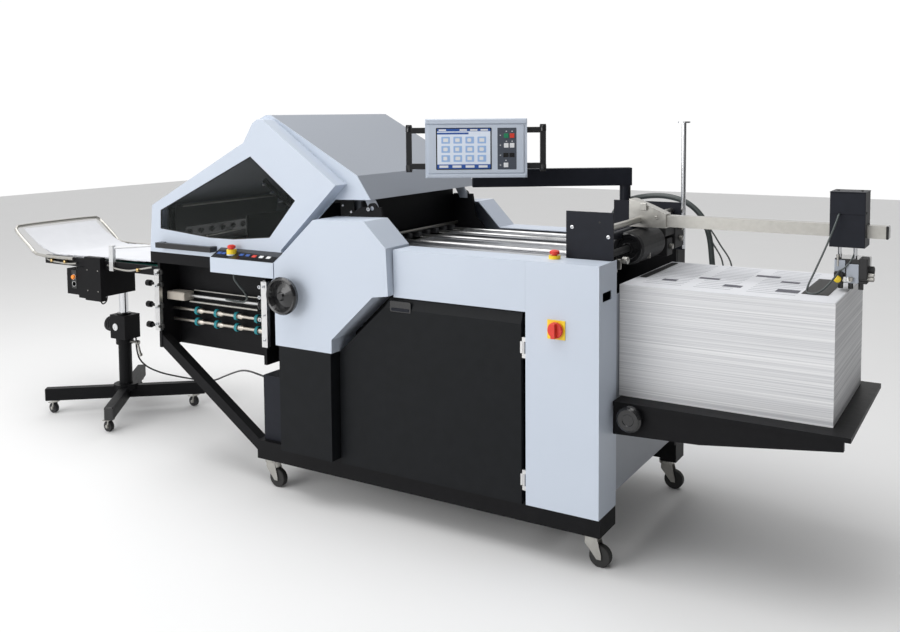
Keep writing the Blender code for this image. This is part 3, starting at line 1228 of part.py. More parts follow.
def drive_box():
    """The drive under the conveyor, its switch box and the upright plate in front of them."""
    step = 0.013
    front = CONVEYOR_FRONT - 2 * COVER_WALL
    top = CONVEYOR_TOP - DRIVE_TOP_DROP - GAP
    right = STAND_X + DRIVE_RIGHT
    box = block("drive_box", (right - DRIVE_WIDTH, right), (front, STAND_Y + DRIVE_BACK), (DRIVE_BOTTOM, top), BLACK)
    switch = block("switch_box", (right - DRIVE_WIDTH - SWITCH_BOX_WIDTH + step, right - DRIVE_WIDTH + step),
                   (front, front + SWITCH_BOX_DEPTH), (DRIVE_BOTTOM + step, top - step), BLACK)
    upright = block("drive_front", (STAND_X + UPRIGHT_LEFT, STAND_X + UPRIGHT_RIGHT),
                    (CONVEYOR_FRONT - GAP - UPRIGHT_WALL, CONVEYOR_FRONT - GAP),
                    (DRIVE_BOTTOM, CONVEYOR_TOP + UPRIGHT_RISE), BLACK)
    return fuse(box, switch, upright)


DRIVE_TOP_DROP = 0.0413
CATCHER_TUBE = 0.016


def catcher_frame():
    """One bent tube: a leg beside each rail, the rise past the conveyor's end and the cross bar at the tip."""
    front = CONVEYOR_FRONT - CATCHER_TUBE / 2 - GAP
    back = CONVEYOR_BACK + CATCHER_TUBE / 2 + GAP
    leg_reach, bend_reach, tip_reach, leg_drop, tip_rise, lean = 0.0755, 0.3685, 0.5295, 0.0045, 0.1248, 0.016
    leg_x, bend_x, tip_x = STAND_X - leg_reach, STAND_X - bend_reach, STAND_X - tip_reach
    leg_z, tip_z = CONVEYOR_TOP - leg_drop, CONVEYOR_TOP + tip_rise
    near = [(leg_x, front, leg_z), (bend_x + 4 * lean, front, leg_z), (bend_x, front, leg_z + lean / 2),
            (bend_x - 2 * lean, front, leg_z + 2 * lean), (tip_x + lean, front, tip_z - lean),
            (tip_x, front + lean / 2, tip_z), (tip_x, front + 3 * lean, tip_z + lean / 4)]
    far = [(x, front + back - y, z) for x, y, z in reversed(near)]
    return tube_curve("catcher_frame", near + far, CATCHER_TUBE, ZINC, 1.6, 2)


# Cords and hoses
def link_cable():
    """The stand's lead: out under the clamp, over the end of a leg and up to the pump box."""
    route = [(-2.693, 0.472, 0.3735), (-2.693, 0.472, 0.350), (-2.692, 0.474, 0.310), (-2.685, 0.484, 0.262),
             (-2.667, 0.512, 0.220), (-2.6315, 0.568, 0.179), (-2.576, 0.634, 0.1490), (-2.5105, 0.669, 0.1362),
             (-2.465, 0.678, 0.1332), (-2.420, 0.674, 0.1366), (-2.320, 0.640, 0.164), (-2.190, 0.570, 0.216),
             (-2.030, 0.475, 0.280), (-1.880, 0.375, 0.335), (-1.740, 0.280, 0.373), (-1.620, 0.205, 0.394),
             (-1.520, 0.166, 0.400), (-1.485, 0.165, 0.400), (-1.4605, 0.165, 0.400)]
    return tube_curve("link_cable", route, 0.008, HOSE, 3.0, 2)


def feeder_hose():
    """The air hose: up from the rear cover, over behind the feeder and down beside the pile to the mast."""
    route = [(-0.300, 0.882, 1.0053), (-0.300, 0.882, 1.035), (-0.286, 0.881, 1.085), (-0.238, 0.879, 1.133),
             (-0.155, 0.876, 1.158), (-0.064, 0.872, 1.162), (0.017, 0.868, 1.141), (0.078, 0.864, 1.090),
             (0.108, 0.861, 1.020), (0.121, 0.859, 0.930), (0.128, 0.858, 0.830), (0.130, 0.857, 0.740),
             (0.124, 0.856, 0.665), (0.104, 0.855, 0.612), (0.074, 0.855, 0.590), (0.048, 0.855, 0.585),
             (0.020, 0.855, 0.585), (0.0008, 0.855, 0.585)]
    return tube_curve("feeder_hose", route, 0.022, HOSE, 1.4, 3)


def air_tube():
    """The suction tube: down from the sucker box, a bend just over the pile and up into the head."""
    route = [(0.652, 0.4013, 1.170), (0.652, 0.390, 1.170), (0.645, 0.370, 1.140), (0.622, 0.348, 1.070),
             (0.594, 0.330, 0.995), (0.577, 0.318, 0.950), (0.575, 0.308, 0.932), (0.585, 0.300, 0.9295),
             (0.603, 0.302, 0.9305), (0.622, 0.318, 0.942), (0.640, 0.345, 0.964), (0.654, 0.375, 0.986),
             (0.655, 0.394, 0.990), (0.655, 0.4043, 0.990)]
    return tube_curve("air_tube", route, 0.006, HOSE, 2.4, 2)


CORD_NODES = ("link_cable", "feeder_hose", "air_tube")


def place_origin():
    """Moves the whole part so that the origin is under the middle of its box, cords left out."""
    bpy.context.view_layer.update()
    graph = bpy.context.evaluated_depsgraph_get()
    corners = []
    for obj in bpy.context.scene.objects:
        if obj.hide_render or obj.type != "MESH":
            continue
        if obj.name in CORD_NODES:
            continue
        done = obj.evaluated_get(graph)
        corners += [done.matrix_world @ v.co for v in done.data.vertices]
    for obj in bpy.context.scene.objects:
        if obj.type == "CURVE" and obj.name not in CORD_NODES:
            mesh = obj.evaluated_get(graph).to_mesh()
            corners += [obj.matrix_world @ v.co for v in mesh.vertices]
    spread = np.array([tuple(c) for c in corners])
    low, high = spread.min(axis=0), spread.max(axis=0)
    ROOT.location = (-(low[0] + high[0]) / 2, -(low[1] + high[1]) / 2, -low[2])
    print("origin offset", [round(v, 6) for v in ROOT.location], "size", (high - low).round(4))


def build():
    base_frame()
    side_plate("side_plate_front", FRONT_PLATE_FRONT)
    side_plate("side_plate_rear", REAR_PLATE_FRONT)
    column_cover()
    beam_cover()
    fold_side_cover()
    lower_front_panel()
    rear_cover()
    end_panel()
    front_door()
    register_bed()
    register_rods()
    feeder_front_plate()
    feeder_rear_plate()
    feed_drum()
    sucker_arm()
    sucker_box()
    sucker_head()
    pile_table()
    paper_pile()
    table_knob()
    control_arm()
    touch_panel()
    hood_front_shell()
    hood_window()
    hood_rear_shell()
    fold_unit_frame()
    slitter_drive()
    nip_shaft("nip_shaft_upper", NIP_UPPER_Z)
    nip_shaft("nip_shaft_lower", NIP_LOWER_Z)
    fold_unit_brace()
    pump_box()
    sub_panel()
    handwheel()
    fold_roller()
    buckle_plate()
    main_switch_knob()
    push_button("estop_button", ESTOP_X, ESTOP_Y, TABLE_HEIGHT)
    push_button("sub_panel_button", SUB_BUTTON_X, SUB_BUTTON_Y, SUB_SHELF)
    for end, x, sides_y in zip(("left", "right"), CASTER_X, CASTER_Y):
        for side, y in zip(("front", "rear"), sides_y):
            caster_fork(f"caster_fork_{end}_{side}", x, y)
            caster_wheel(f"caster_wheel_{end}_{side}", x, y)
    stand_base()
    stand_pole()
    clamp_lever()
    for k, turn in enumerate(BAR_TURNS):
        for side in (-1.0, 1.0):
            stand_caster(f"stand_caster_{2 * k + (1 if side > 0 else 0) + 1}", turn, side)
    conveyor_bed()
    drive_box()
    catcher_frame()
    link_cable()
    feeder_hose()
    air_tube()
    place_origin()


build()
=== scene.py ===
# %% [markdown]
# A cross folder for printed sheets: finishes, fittings, lights and camera
#
# The construction is already there: every cover, roller, arm and caster comes in as a fixed node, on the
# body that moves it. This lesson dresses those nodes. It gives each one a procedural finish, adds the
# fittings that are too small for the construction model, and sets a studio round the machine.

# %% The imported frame
import bpy
import math
import numpy as np
from mathutils import Matrix, Vector


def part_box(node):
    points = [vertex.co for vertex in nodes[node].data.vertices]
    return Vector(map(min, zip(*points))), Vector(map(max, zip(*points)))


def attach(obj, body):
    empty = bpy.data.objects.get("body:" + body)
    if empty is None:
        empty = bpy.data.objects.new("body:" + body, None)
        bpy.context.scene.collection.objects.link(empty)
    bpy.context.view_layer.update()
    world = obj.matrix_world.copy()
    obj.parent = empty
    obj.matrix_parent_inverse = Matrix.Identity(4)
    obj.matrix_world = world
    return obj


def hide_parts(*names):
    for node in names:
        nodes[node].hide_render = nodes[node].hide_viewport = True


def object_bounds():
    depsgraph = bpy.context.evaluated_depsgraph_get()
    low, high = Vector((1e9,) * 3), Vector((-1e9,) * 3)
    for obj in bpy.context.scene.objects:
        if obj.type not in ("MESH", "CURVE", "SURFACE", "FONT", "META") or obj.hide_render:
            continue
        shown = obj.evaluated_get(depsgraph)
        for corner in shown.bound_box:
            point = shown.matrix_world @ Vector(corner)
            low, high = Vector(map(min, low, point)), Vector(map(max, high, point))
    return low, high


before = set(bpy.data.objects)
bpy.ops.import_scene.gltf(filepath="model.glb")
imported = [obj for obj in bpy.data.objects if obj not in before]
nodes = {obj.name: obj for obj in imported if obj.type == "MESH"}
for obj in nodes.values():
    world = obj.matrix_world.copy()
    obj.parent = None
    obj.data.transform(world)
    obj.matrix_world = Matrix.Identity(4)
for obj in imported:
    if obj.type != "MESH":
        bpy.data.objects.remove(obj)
cad_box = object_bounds()
print("nodes", len(nodes), "box", cad_box)

# %% [markdown]
# Where things are
#
# The machine is easiest to think about from its own corner: x = 0 at the feeder end, y = 0 at the front of
# the covers, z = 0 on the floor. The frame's origin lies elsewhere, so the shift between the two is read
# from three flat faces instead of being typed in. It could be typed, but then it would be wrong after any
# change of size.

# %% From machine sizes to the frame
FRAME_BOTTOM = 0.112
SHIFT = np.array([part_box("side_plate_front")[1][0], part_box("beam_cover")[0][1],
                  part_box("base_frame")[0][2] - FRAME_BOTTOM])
print("shift", SHIFT.round(4))

# %% [markdown]
# The camera
#
# A person stood in front of the feeder end and looked a little down and to the left. The lens is a mild
# telephoto, and the picture was shifted upwards, as architects do, so the verticals stay almost upright.

# %% Camera
EYE = np.array([1.1556, -2.7914, 1.5])
FOCAL_LENGTH, FILM_WIDTH, UPWARD_SHIFT = 38.26, 36.0, -0.15
YAW, PITCH, ROLL = math.radians(31.22), math.radians(-4.11), math.radians(0.47)
forward = np.array([-math.sin(YAW) * math.cos(PITCH), math.cos(YAW) * math.cos(PITCH), math.sin(PITCH)])
level_right = np.array([math.cos(YAW), math.sin(YAW), 0.0])
level_down = np.cross(forward, level_right)
right = level_right * math.cos(ROLL) + level_down * math.sin(ROLL)
down = -level_right * math.sin(ROLL) + level_down * math.cos(ROLL)
lens = bpy.data.cameras.new("studio_camera")
lens.lens = FOCAL_LENGTH
lens.sensor_width = FILM_WIDTH
lens.sensor_fit = "HORIZONTAL"
lens.shift_y = UPWARD_SHIFT
camera = bpy.data.objects.new("studio_camera", lens)
bpy.context.scene.collection.objects.link(camera)
placed = np.eye(4)
placed[:3, :3] = np.column_stack([right, -down, -forward])
placed[:3, 3] = EYE + SHIFT
camera.matrix_world = Matrix(placed.tolist())
bpy.context.scene.camera = camera
print("camera at", (EYE + SHIFT).round(3))

# %% [markdown]
# Shapes from numbers
#
# Every fitting below is a surface on a grid of two parameters. One runs round a section, the other along
# the piece. Three kinds cover nearly all of them: a section carried along a path, a profile turned about an
# axis, and a flat outline given a thickness with softened edges.

# %% Grids to meshes
made = []


def mesh_piece(name, solid, material, body, smooth=35.0):
    """A mesh from a solid's corners in machine sizes and its faces, put on its body."""
    corners, faces = solid
    mesh = bpy.data.meshes.new(name)
    mesh.from_pydata((np.asarray(corners, float) + SHIFT).tolist(), [], faces)
    mesh.validate()
    mesh.materials.append(material)
    mesh.shade_smooth()
    mesh.set_sharp_from_angle(angle=math.radians(smooth))
    piece = bpy.data.objects.new(name, mesh)
    bpy.context.scene.collection.objects.link(piece)
    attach(piece, body)
    made.append(name)
    return piece


def grid_faces(rows, columns, start=0, wrap=True):
    """Quads between neighbouring rows of a grid whose columns close on themselves when wrap is set."""
    r, c = np.meshgrid(np.arange(rows - 1), np.arange(columns if wrap else columns - 1), indexing="ij")
    n = (c + 1) % columns
    quads = np.stack([r * columns + c, r * columns + n, (r + 1) * columns + n, (r + 1) * columns + c],
        axis=-1)
    return (quads.reshape(-1, 4) + start).tolist()


def joined(*solids):
    """Several (corners, faces) solids as one."""
    corners, faces, count = [], [], 0
    for points, quads in solids:
        corners.append(np.asarray(points))
        faces += [[i + count for i in quad] for quad in quads]
        count += len(points)
    return np.concatenate(corners), faces


# %% A profile turned about an axis
def turned(profile, origin, direction, sides=32):
    """Radius r(t) at distance d(t) along the axis, swept once round: origin + d*axis + r*(cos a, sin a)."""
    axis = np.asarray(direction, float)
    axis = axis / np.linalg.norm(axis)
    guide = np.array([0.0, 0.0, 1.0]) if abs(axis[2]) < 0.9 else np.array([0.0, 1.0, 0.0])
    side = np.cross(guide, axis)
    side /= np.linalg.norm(side)
    up = np.cross(axis, side)
    profile = np.asarray(profile, float)
    angle = np.linspace(0, math.tau, sides, endpoint=False)
    circle = np.cos(angle)[:, None] * side + np.sin(angle)[:, None] * up
    rows = np.asarray(origin) + profile[:, :1, None] * axis + profile[:, 1, None, None] * circle
    count = len(profile)
    faces = grid_faces(count, sides)
    faces.append(list(range(sides))[::-1])
    faces.append(list(range((count - 1) * sides, count * sides)))
    return rows.reshape(-1, 3), faces


# %% A section carried along a path
CUTS = 24


def smooth_path(route, step):
    """A centripetal Catmull-Rom line through the route, cut into even steps."""
    points = np.asarray(route, float)
    points = np.vstack([2 * points[0] - points[1], points, 2 * points[-1] - points[-2]])
    line = []
    for a, b, c, d in zip(points, points[1:], points[2:], points[3:]):
        k0 = 0.0
        k1 = k0 + math.sqrt(np.linalg.norm(b - a))
        k2 = k1 + math.sqrt(np.linalg.norm(c - b))
        k3 = k2 + math.sqrt(np.linalg.norm(d - c))
        t = np.linspace(k1, k2, CUTS, endpoint=False)[:, None]
        p = ((k1 - t) * a + (t - k0) * b) / (k1 - k0)
        q = ((k2 - t) * b + (t - k1) * c) / (k2 - k1)
        r = ((k3 - t) * c + (t - k2) * d) / (k3 - k2)
        m = ((k2 - t) * p + (t - k0) * q) / (k2 - k0)
        n = ((k3 - t) * q + (t - k1) * r) / (k3 - k1)
        line.append(((k2 - t) * m + (t - k1) * n) / (k2 - k1))
    line = np.vstack(line + [points[-2:-1]])
    run = np.concatenate([[0], np.cumsum(np.linalg.norm(np.diff(line, axis=0), axis=1))])
    even = np.linspace(0, run[-1], max(2, round(run[-1] / step)) + 1)
    return np.stack([np.interp(even, run, line[:, k]) for k in range(3)], axis=1)


def tube(path, radius, sides=12):
    """A circle of that radius carried along the path in frames that never spin; both ends are closed."""
    path = np.asarray(path, float)
    along = np.gradient(path, axis=0)
    along /= np.linalg.norm(along, axis=1)[:, None]
    guide = np.array([0.0, 0.0, 1.0]) if abs(along[0][2]) < 0.9 else np.array([1.0, 0.0, 0.0])
    sides_of = [np.cross(guide, along[0])]
    sides_of[0] /= np.linalg.norm(sides_of[0])
    for t in along[1:]:
        s = sides_of[-1] - t * (sides_of[-1] @ t)
        sides_of.append(s / np.linalg.norm(s))
    side = np.array(sides_of)
    up = np.cross(along, side)
    angle = np.linspace(0, math.tau, sides, endpoint=False)
    reach = np.broadcast_to(np.asarray(radius, float), (len(path),))[:, None, None]
    ring = np.cos(angle)[None, :, None] * side[:, None] + np.sin(angle)[None, :, None] * up[:, None]
    rows = path[:, None] + reach * ring
    faces = grid_faces(len(path), sides)
    faces.append(list(range(sides))[::-1])
    faces.append(list(range((len(path) - 1) * sides, len(path) * sides)))
    return rows.reshape(-1, 3), faces


# %% A flat outline with a thickness and softened edges
def rounded(width, height, radius, steps=5):
    """A rectangle about the origin whose corners are quarter circles."""
    radius = min(radius, width / 2, height / 2)
    turn = np.linspace(0, math.pi / 2, steps)
    corner = np.stack([np.cos(turn), np.sin(turn)], axis=1) * radius
    cx, cy = width / 2 - radius, height / 2 - radius
    out = []
    for k, (sx, sy) in enumerate(((1, 1), (-1, 1), (-1, -1), (1, -1))):
        c, s = math.cos(k * math.pi / 2), math.sin(k * math.pi / 2)
        out.append(corner @ np.array([[c, s], [-s, c]]) + np.array([sx * cx, sy * cy]))
    return np.vstack(out)


def shrunk(outline, amount):
    """The outline moved in by an amount: each corner goes along the sum of its two sides' normals."""
    before, after = np.roll(outline, 1, axis=0), np.roll(outline, -1, axis=0)
    d1, d2 = outline - before, after - outline
    d1 /= np.linalg.norm(d1, axis=1)[:, None] + 1e-12
    d2 /= np.linalg.norm(d2, axis=1)[:, None] + 1e-12
    n1, n2 = np.stack([-d1[:, 1], d1[:, 0]], 1), np.stack([-d2[:, 1], d2[:, 0]], 1)
    return outline + (n1 + n2) * (amount / (1 + np.sum(n1 * n2, axis=1)))[:, None]


def plate(outline, origin, across, up, thickness, edge=0.0006):
    """The outline in the plane of two directions, pushed along their cross product, edges eased by edge."""
    outline = np.asarray(outline, float)
    area = np.sum(outline[:, 0] * np.roll(outline[:, 1], -1) - np.roll(outline[:, 0], -1) * outline[:, 1])
    if area < 0:
        outline = outline[::-1]
    across, up = np.asarray(across, float), np.asarray(up, float)
    normal = np.cross(across, up)
    edge = min(edge, thickness / 2.5)
    small = shrunk(outline, edge)
    rows = [(small, 0.0), (outline, edge), (outline, thickness - edge), (small, thickness)]
    corners = np.vstack([np.asarray(origin) + ring[:, :1] * across + ring[:, 1:] * up + normal * depth
                         for ring, depth in rows])
    count = len(outline)
    faces = grid_faces(4, count)
    faces.append(list(range(count))[::-1])
    faces.append(list(range(3 * count, 4 * count)))
    return corners, faces


X, Y, Z = np.eye(3)


SHARP = 1e-4


def slab(x, y, z, edge=0.001, corner=0.0):
    """A box between two values on each axis, with softened edges, thickness along Y."""
    width, height = x[1] - x[0], z[1] - z[0]
    outline = rounded(width, height, max(corner, SHARP), 5 if corner > SHARP else 2)
    centre = np.array([(x[0] + x[1]) / 2, y[1], (z[0] + z[1]) / 2])
    return plate(outline, centre, X, Z, y[1] - y[0], edge)


def deck(x, y, z, edge=0.001, corner=0.0):
    """A box like slab, with its thickness along Z."""
    outline = rounded(x[1] - x[0], y[1] - y[0], max(corner, SHARP), 5 if corner > SHARP else 2)
    return plate(outline, np.array([(x[0] + x[1]) / 2, (y[0] + y[1]) / 2, z[0]]), X, Y, z[1] - z[0], edge)


def bolt(centre, direction, radius=0.004, height=0.0025):
    """A socket screw's head: a low turned cap with a dished drive."""
    profile = [(0, radius), (height * 0.8, radius), (height, radius * 0.85), (height, radius * 0.55),
               (height * 0.45, radius * 0.5), (height * 0.45, 0.0002)]
    return turned(profile, centre, direction, 16)


def bar(start, end, radius, sides=12, rings=6):
    """A straight round bar between two points."""
    return tube(np.linspace(start, end, rings), radius, sides)


def path_length(path):
    """The sum of the path's steps."""
    return float(np.linalg.norm(np.diff(path, axis=0), axis=1).sum())


def give(node, material):
    """The node wears this one material."""
    nodes[node].data.materials.clear()
    nodes[node].data.materials.append(material)

# %% [markdown]
# Finishes
#
# Painted sheet metal has a fine orange-peel grain, zinc plate has a mottled sheen, ground steel has fine
# lines along its length. Photographs could be pasted on, but noise in object coordinates needs no
# unwrapping and keeps its scale on every piece. One recipe makes them all: a noise sets the colour between
# two close tones, another spreads the roughness, and a third lifts the surface a little.

# %% One recipe for a mottled surface
def surface(name, tone, second, size=60.0, roughness=(0.4, 0.5), metallic=0.0, grain=0.1, grain_size=900.0,
            stretch=(1.0, 1.0, 1.0), coat=0.0, gleam=0.5):
    """Noise mixes two tones, spreads the roughness, lifts a fine grain; gleam scales the reflection."""
    material = bpy.data.materials.new(name)
    material.use_nodes = True
    tree = material.node_tree
    shader = tree.nodes["Principled BSDF"]
    shader.inputs["Metallic"].default_value = metallic
    shader.inputs["Coat Weight"].default_value = coat
    shader.inputs["Specular IOR Level"].default_value = gleam
    place = tree.nodes.new("ShaderNodeTexCoord")
    mapping = tree.nodes.new("ShaderNodeMapping")
    mapping.inputs["Scale"].default_value = stretch
    tree.links.new(place.outputs["Object"], mapping.inputs["Vector"])
    broad = tree.nodes.new("ShaderNodeTexNoise")
    broad.inputs["Scale"].default_value = size
    broad.inputs["Detail"].default_value = 4.0
    tree.links.new(mapping.outputs["Vector"], broad.inputs["Vector"])
    tones = tree.nodes.new("ShaderNodeMix")
    tones.data_type = "RGBA"
    tones.inputs["A"].default_value = (*tone, 1.0)
    tones.inputs["B"].default_value = (*second, 1.0)
    tree.links.new(broad.outputs["Fac"], tones.inputs["Factor"])
    tree.links.new(tones.outputs["Result"], shader.inputs["Base Color"])
    spread = tree.nodes.new("ShaderNodeMapRange")
    spread.inputs["To Min"].default_value = roughness[0]
    spread.inputs["To Max"].default_value = roughness[1]
    tree.links.new(broad.outputs["Fac"], spread.inputs["Value"])
    tree.links.new(spread.outputs["Result"], shader.inputs["Roughness"])
    fine = tree.nodes.new("ShaderNodeTexNoise")
    fine.inputs["Scale"].default_value = grain_size
    fine.inputs["Detail"].default_value = 2.0
    tree.links.new(mapping.outputs["Vector"], fine.inputs["Vector"])
    lift = tree.nodes.new("ShaderNodeBump")
    lift.inputs["Strength"].default_value = grain
    lift.inputs["Distance"].default_value = 0.0004
    tree.links.new(fine.outputs["Fac"], lift.inputs["Height"])
    tree.links.new(lift.outputs["Normal"], shader.inputs["Normal"])
    return material


# %% The machine's finishes
pale_paint = surface("pale paint", (0.500, 0.555, 0.640), (0.535, 0.590, 0.675), 3.0, (0.40, 0.50),
    grain=0.12)
side_paint = surface("side paint", (0.480, 0.530, 0.620), (0.510, 0.560, 0.650), 3.0, (0.42, 0.52),
    grain=0.12)
hood_paint = surface("hood paint", (0.270, 0.295, 0.340), (0.295, 0.320, 0.365), 3.0, (0.38, 0.48),
    grain=0.12)
black_paint = surface("black paint", (0.005, 0.005, 0.006), (0.009, 0.009, 0.010), 40.0, (0.42, 0.55),
    grain=0.35, grain_size=500, gleam=0.12)
door_paint = surface("door paint", (0.007, 0.008, 0.009), (0.011, 0.012, 0.014), 25.0, (0.38, 0.48),
    grain=0.45, grain_size=420, gleam=0.12)
charcoal_paint = surface("charcoal paint", (0.011, 0.012, 0.017), (0.016, 0.018, 0.025), 30.0, (0.42, 0.52),
    grain=0.3, grain_size=500, gleam=0.15)
ground_steel = surface("ground steel", (0.50, 0.50, 0.50), (0.62, 0.62, 0.61), 40.0, (0.22, 0.38), 1.0,
    0.15, 500, (1.0, 14.0, 14.0))
bed_steel = surface("bed steel", (0.36, 0.37, 0.40), (0.46, 0.47, 0.50), 30.0, (0.28, 0.42), 1.0, 0.12, 500,
    (1.0, 12.0, 12.0))
zinc_plate = surface("zinc plate", (0.38, 0.37, 0.345), (0.50, 0.49, 0.46), 55.0, (0.28, 0.45), 1.0, 0.12,
    700)
chrome = surface("chrome", (0.62, 0.63, 0.65), (0.70, 0.71, 0.73), 20.0, (0.08, 0.16), 1.0, 0.02, 600)
teal_rubber = surface("teal rubber", (0.008, 0.20, 0.24), (0.014, 0.27, 0.31), 120.0, (0.45, 0.6),
    grain=0.2)
beige_paint = surface("beige paint", (0.42, 0.38, 0.33), (0.48, 0.44, 0.38), 60.0, (0.4, 0.5), grain=0.2)
gloss_black = surface("gloss black", (0.008, 0.008, 0.009), (0.014, 0.014, 0.015), 30.0, (0.14, 0.24),
    grain=0.04, coat=0.3)
red_plastic = surface("red plastic", (0.62, 0.028, 0.015), (0.72, 0.045, 0.025), 80.0, (0.28, 0.4),
    grain=0.05)
yellow_plastic = surface("yellow plastic", (0.86, 0.60, 0.02), (0.92, 0.67, 0.04), 80.0, (0.32, 0.42),
    grain=0.05)
black_rubber = surface("black rubber", (0.012, 0.012, 0.012), (0.022, 0.022, 0.021), 90.0, (0.6, 0.75),
    grain=0.3)
hose_grey = surface("hose grey", (0.050, 0.060, 0.060), (0.075, 0.088, 0.086), 90.0, (0.35, 0.5),
    grain=0.15)
cable_black = surface("cable black", (0.012, 0.012, 0.013), (0.020, 0.020, 0.021), 90.0, (0.35, 0.5),
    grain=0.1)
white_plastic = surface("white plastic", (0.72, 0.73, 0.74), (0.78, 0.79, 0.80), 80.0, (0.35, 0.45),
    grain=0.05)
brass_screw = surface("brass screw", (0.50, 0.36, 0.16), (0.62, 0.46, 0.22), 90.0, (0.3, 0.45), 1.0, 0.1)

# %% [markdown]
# Paper
#
# The pile's sides show hundreds of sheet edges: thin grey lines at changing spacing, with a slightly darker
# band where a batch was set down. A stretched noise, long in the plane and very short upwards, draws them
# all.

# %% The pile's edges
paper_edges = surface("pile edges", (0.30, 0.31, 0.34), (1.00, 1.00, 1.00), 1.2, (0.75, 0.85), grain=0.5,
                      grain_size=2.0, stretch=(0.6, 0.6, 210.0))
# The paper's white is toned down to a grey: white paper with painted shade.
paper_with_painted_shade = surface("paper with painted shade", (0.62, 0.63, 0.66), (0.70, 0.71, 0.74), 12.0, (0.7, 0.8), grain=0.05)

# %% [markdown]
# The window
#
# The hood's window is a clear plastic sheet with a faint smoke tint. A real glass shader would darken the
# parts behind it with its double refraction. A low alpha on the one shader keeps the glossy skin.

# %% Window sheet
window_sheet = surface("window sheet", (0.030, 0.036, 0.034), (0.040, 0.046, 0.044), 8.0, (0.04, 0.08),
    grain=0.0)
window_sheet.node_tree.nodes["Principled BSDF"].inputs["Alpha"].default_value = 0.12
window_sheet.surface_render_method = "BLENDED"

# %% Each node gets its finish
wears = {pale_paint: ["column_cover", "beam_cover", "fold_side_cover", "hood_front_shell", "sub_panel",
    "touch_panel"], side_paint: ["rear_cover"], hood_paint: ["hood_rear_shell", "end_panel"],
    black_paint: ["base_frame", "side_plate_front", "side_plate_rear", "pile_table", "fold_unit_frame",
    "fold_unit_brace", "stand_base", "conveyor_bed", "drive_box"], door_paint: ["front_door",
    "lower_front_panel"], charcoal_paint: ["feeder_front_plate", "feeder_rear_plate", "sucker_box",
    "control_arm", "pump_box"], ground_steel: ["register_rods", "fold_roller"], bed_steel: ["register_bed"],
    zinc_plate: ["sucker_arm", "buckle_plate", "clamp_lever", "catcher_frame"], chrome: ["stand_pole"],
    beige_paint: ["slitter_drive"], gloss_black: ["feed_drum", "table_knob", "handwheel", "sucker_head"],
    red_plastic: ["main_switch_knob", "estop_button", "sub_panel_button"], paper_edges: ["paper_pile"],
    window_sheet: ["hood_window"], hose_grey: ["feeder_hose", "link_cable", "air_tube"],
    teal_rubber: ["nip_shaft_upper", "nip_shaft_lower"], }
for name in nodes:
    if name.startswith(("caster_fork", "stand_caster")):
        wears[zinc_plate].append(name)
    if name.startswith("caster_wheel"):
        wears.setdefault(black_rubber, []).append(name)
for material, names in wears.items():
    for name in names:
        give(name, material)
bare = sorted(set(nodes) - {n for names in wears.values() for n in names})
print("nodes with no finish:", bare)

# %% [markdown]
# Pieces of two materials
#
# Some nodes are one solid in the construction but two materials on the machine: a yellow plate on a painted
# cover, a black handle on the hood. The mesh stays as it is. Its material asks where a point lies in object
# coordinates and changes tone, roughness and metal inside a box or outside a radius.

# %% Masks from object coordinates
def math_node(tree, operation, a, b):
    """One arithmetic step; a and b are sockets or numbers."""
    node = tree.nodes.new("ShaderNodeMath")
    node.operation = operation
    for slot, value in zip(node.inputs, (a, b)):
        if isinstance(value, (int, float)):
            slot.default_value = value
        else:
            tree.links.new(value, slot)
    return node.outputs["Value"]


def shares(tree, turn=0.0):
    """The object coordinates as three sockets, turned about the upright axis by an angle."""
    place = tree.nodes.new("ShaderNodeTexCoord")
    spin = tree.nodes.new("ShaderNodeVectorRotate")
    spin.rotation_type = "Z_AXIS"
    spin.inputs["Angle"].default_value = turn
    tree.links.new(place.outputs["Object"], spin.inputs["Vector"])
    parts = tree.nodes.new("ShaderNodeSeparateXYZ")
    tree.links.new(spin.outputs["Vector"], parts.inputs["Vector"])
    return parts.outputs


def overlay(material, mask, tone, roughness, metallic):
    """Where the mask is one, the shader takes this tone, roughness and metal in place of its own."""
    tree = material.node_tree
    shader = tree.nodes["Principled BSDF"]
    for name, value in (("Base Color", (*tone, 1.0)), ("Roughness", roughness), ("Metallic", metallic)):
        mix = tree.nodes.new("ShaderNodeMix")
        colour = name == "Base Color"
        mix.data_type = "RGBA" if colour else "FLOAT"
        first, second = (mix.inputs[6], mix.inputs[7]) if colour else (mix.inputs[2], mix.inputs[3])
        if shader.inputs[name].is_linked:
            tree.links.new(shader.inputs[name].links[0].from_socket, first)
        else:
            first.default_value = shader.inputs[name].default_value
        second.default_value = value
        tree.links.new(mask, mix.inputs[0])
        tree.links.new(mix.outputs[2] if colour else mix.outputs[0], shader.inputs[name])


def boxed(material, x, y, z, tone, roughness=0.4, metallic=0.0, turn=0.0, middle=(0.0, 0.0)):
    """A box mask in machine sizes: the product of three tests |p - middle of box| < half its width."""
    tree = material.node_tree
    sockets = shares(tree, turn)
    base = np.array([*middle, 0.0]) + SHIFT
    c, s = math.cos(turn), math.sin(turn)
    turned_base = (c * base[0] - s * base[1], s * base[0] + c * base[1], base[2])
    mask = None
    for socket, origin, span in zip(sockets, turned_base, (x, y, z)):
        centre, half = origin + (span[0] + span[1]) / 2, (span[1] - span[0]) / 2
        away = math_node(tree, "ABSOLUTE", math_node(tree, "SUBTRACT", socket, centre), 0.0)
        inside = math_node(tree, "LESS_THAN", away, half)
        mask = inside if mask is None else math_node(tree, "MULTIPLY", mask, inside)
    overlay(material, mask, tone, roughness, metallic)


def own(node, material, name):
    """A copy of the material for one node alone."""
    copy = material.copy()
    copy.name = name
    give(node, copy)
    return copy


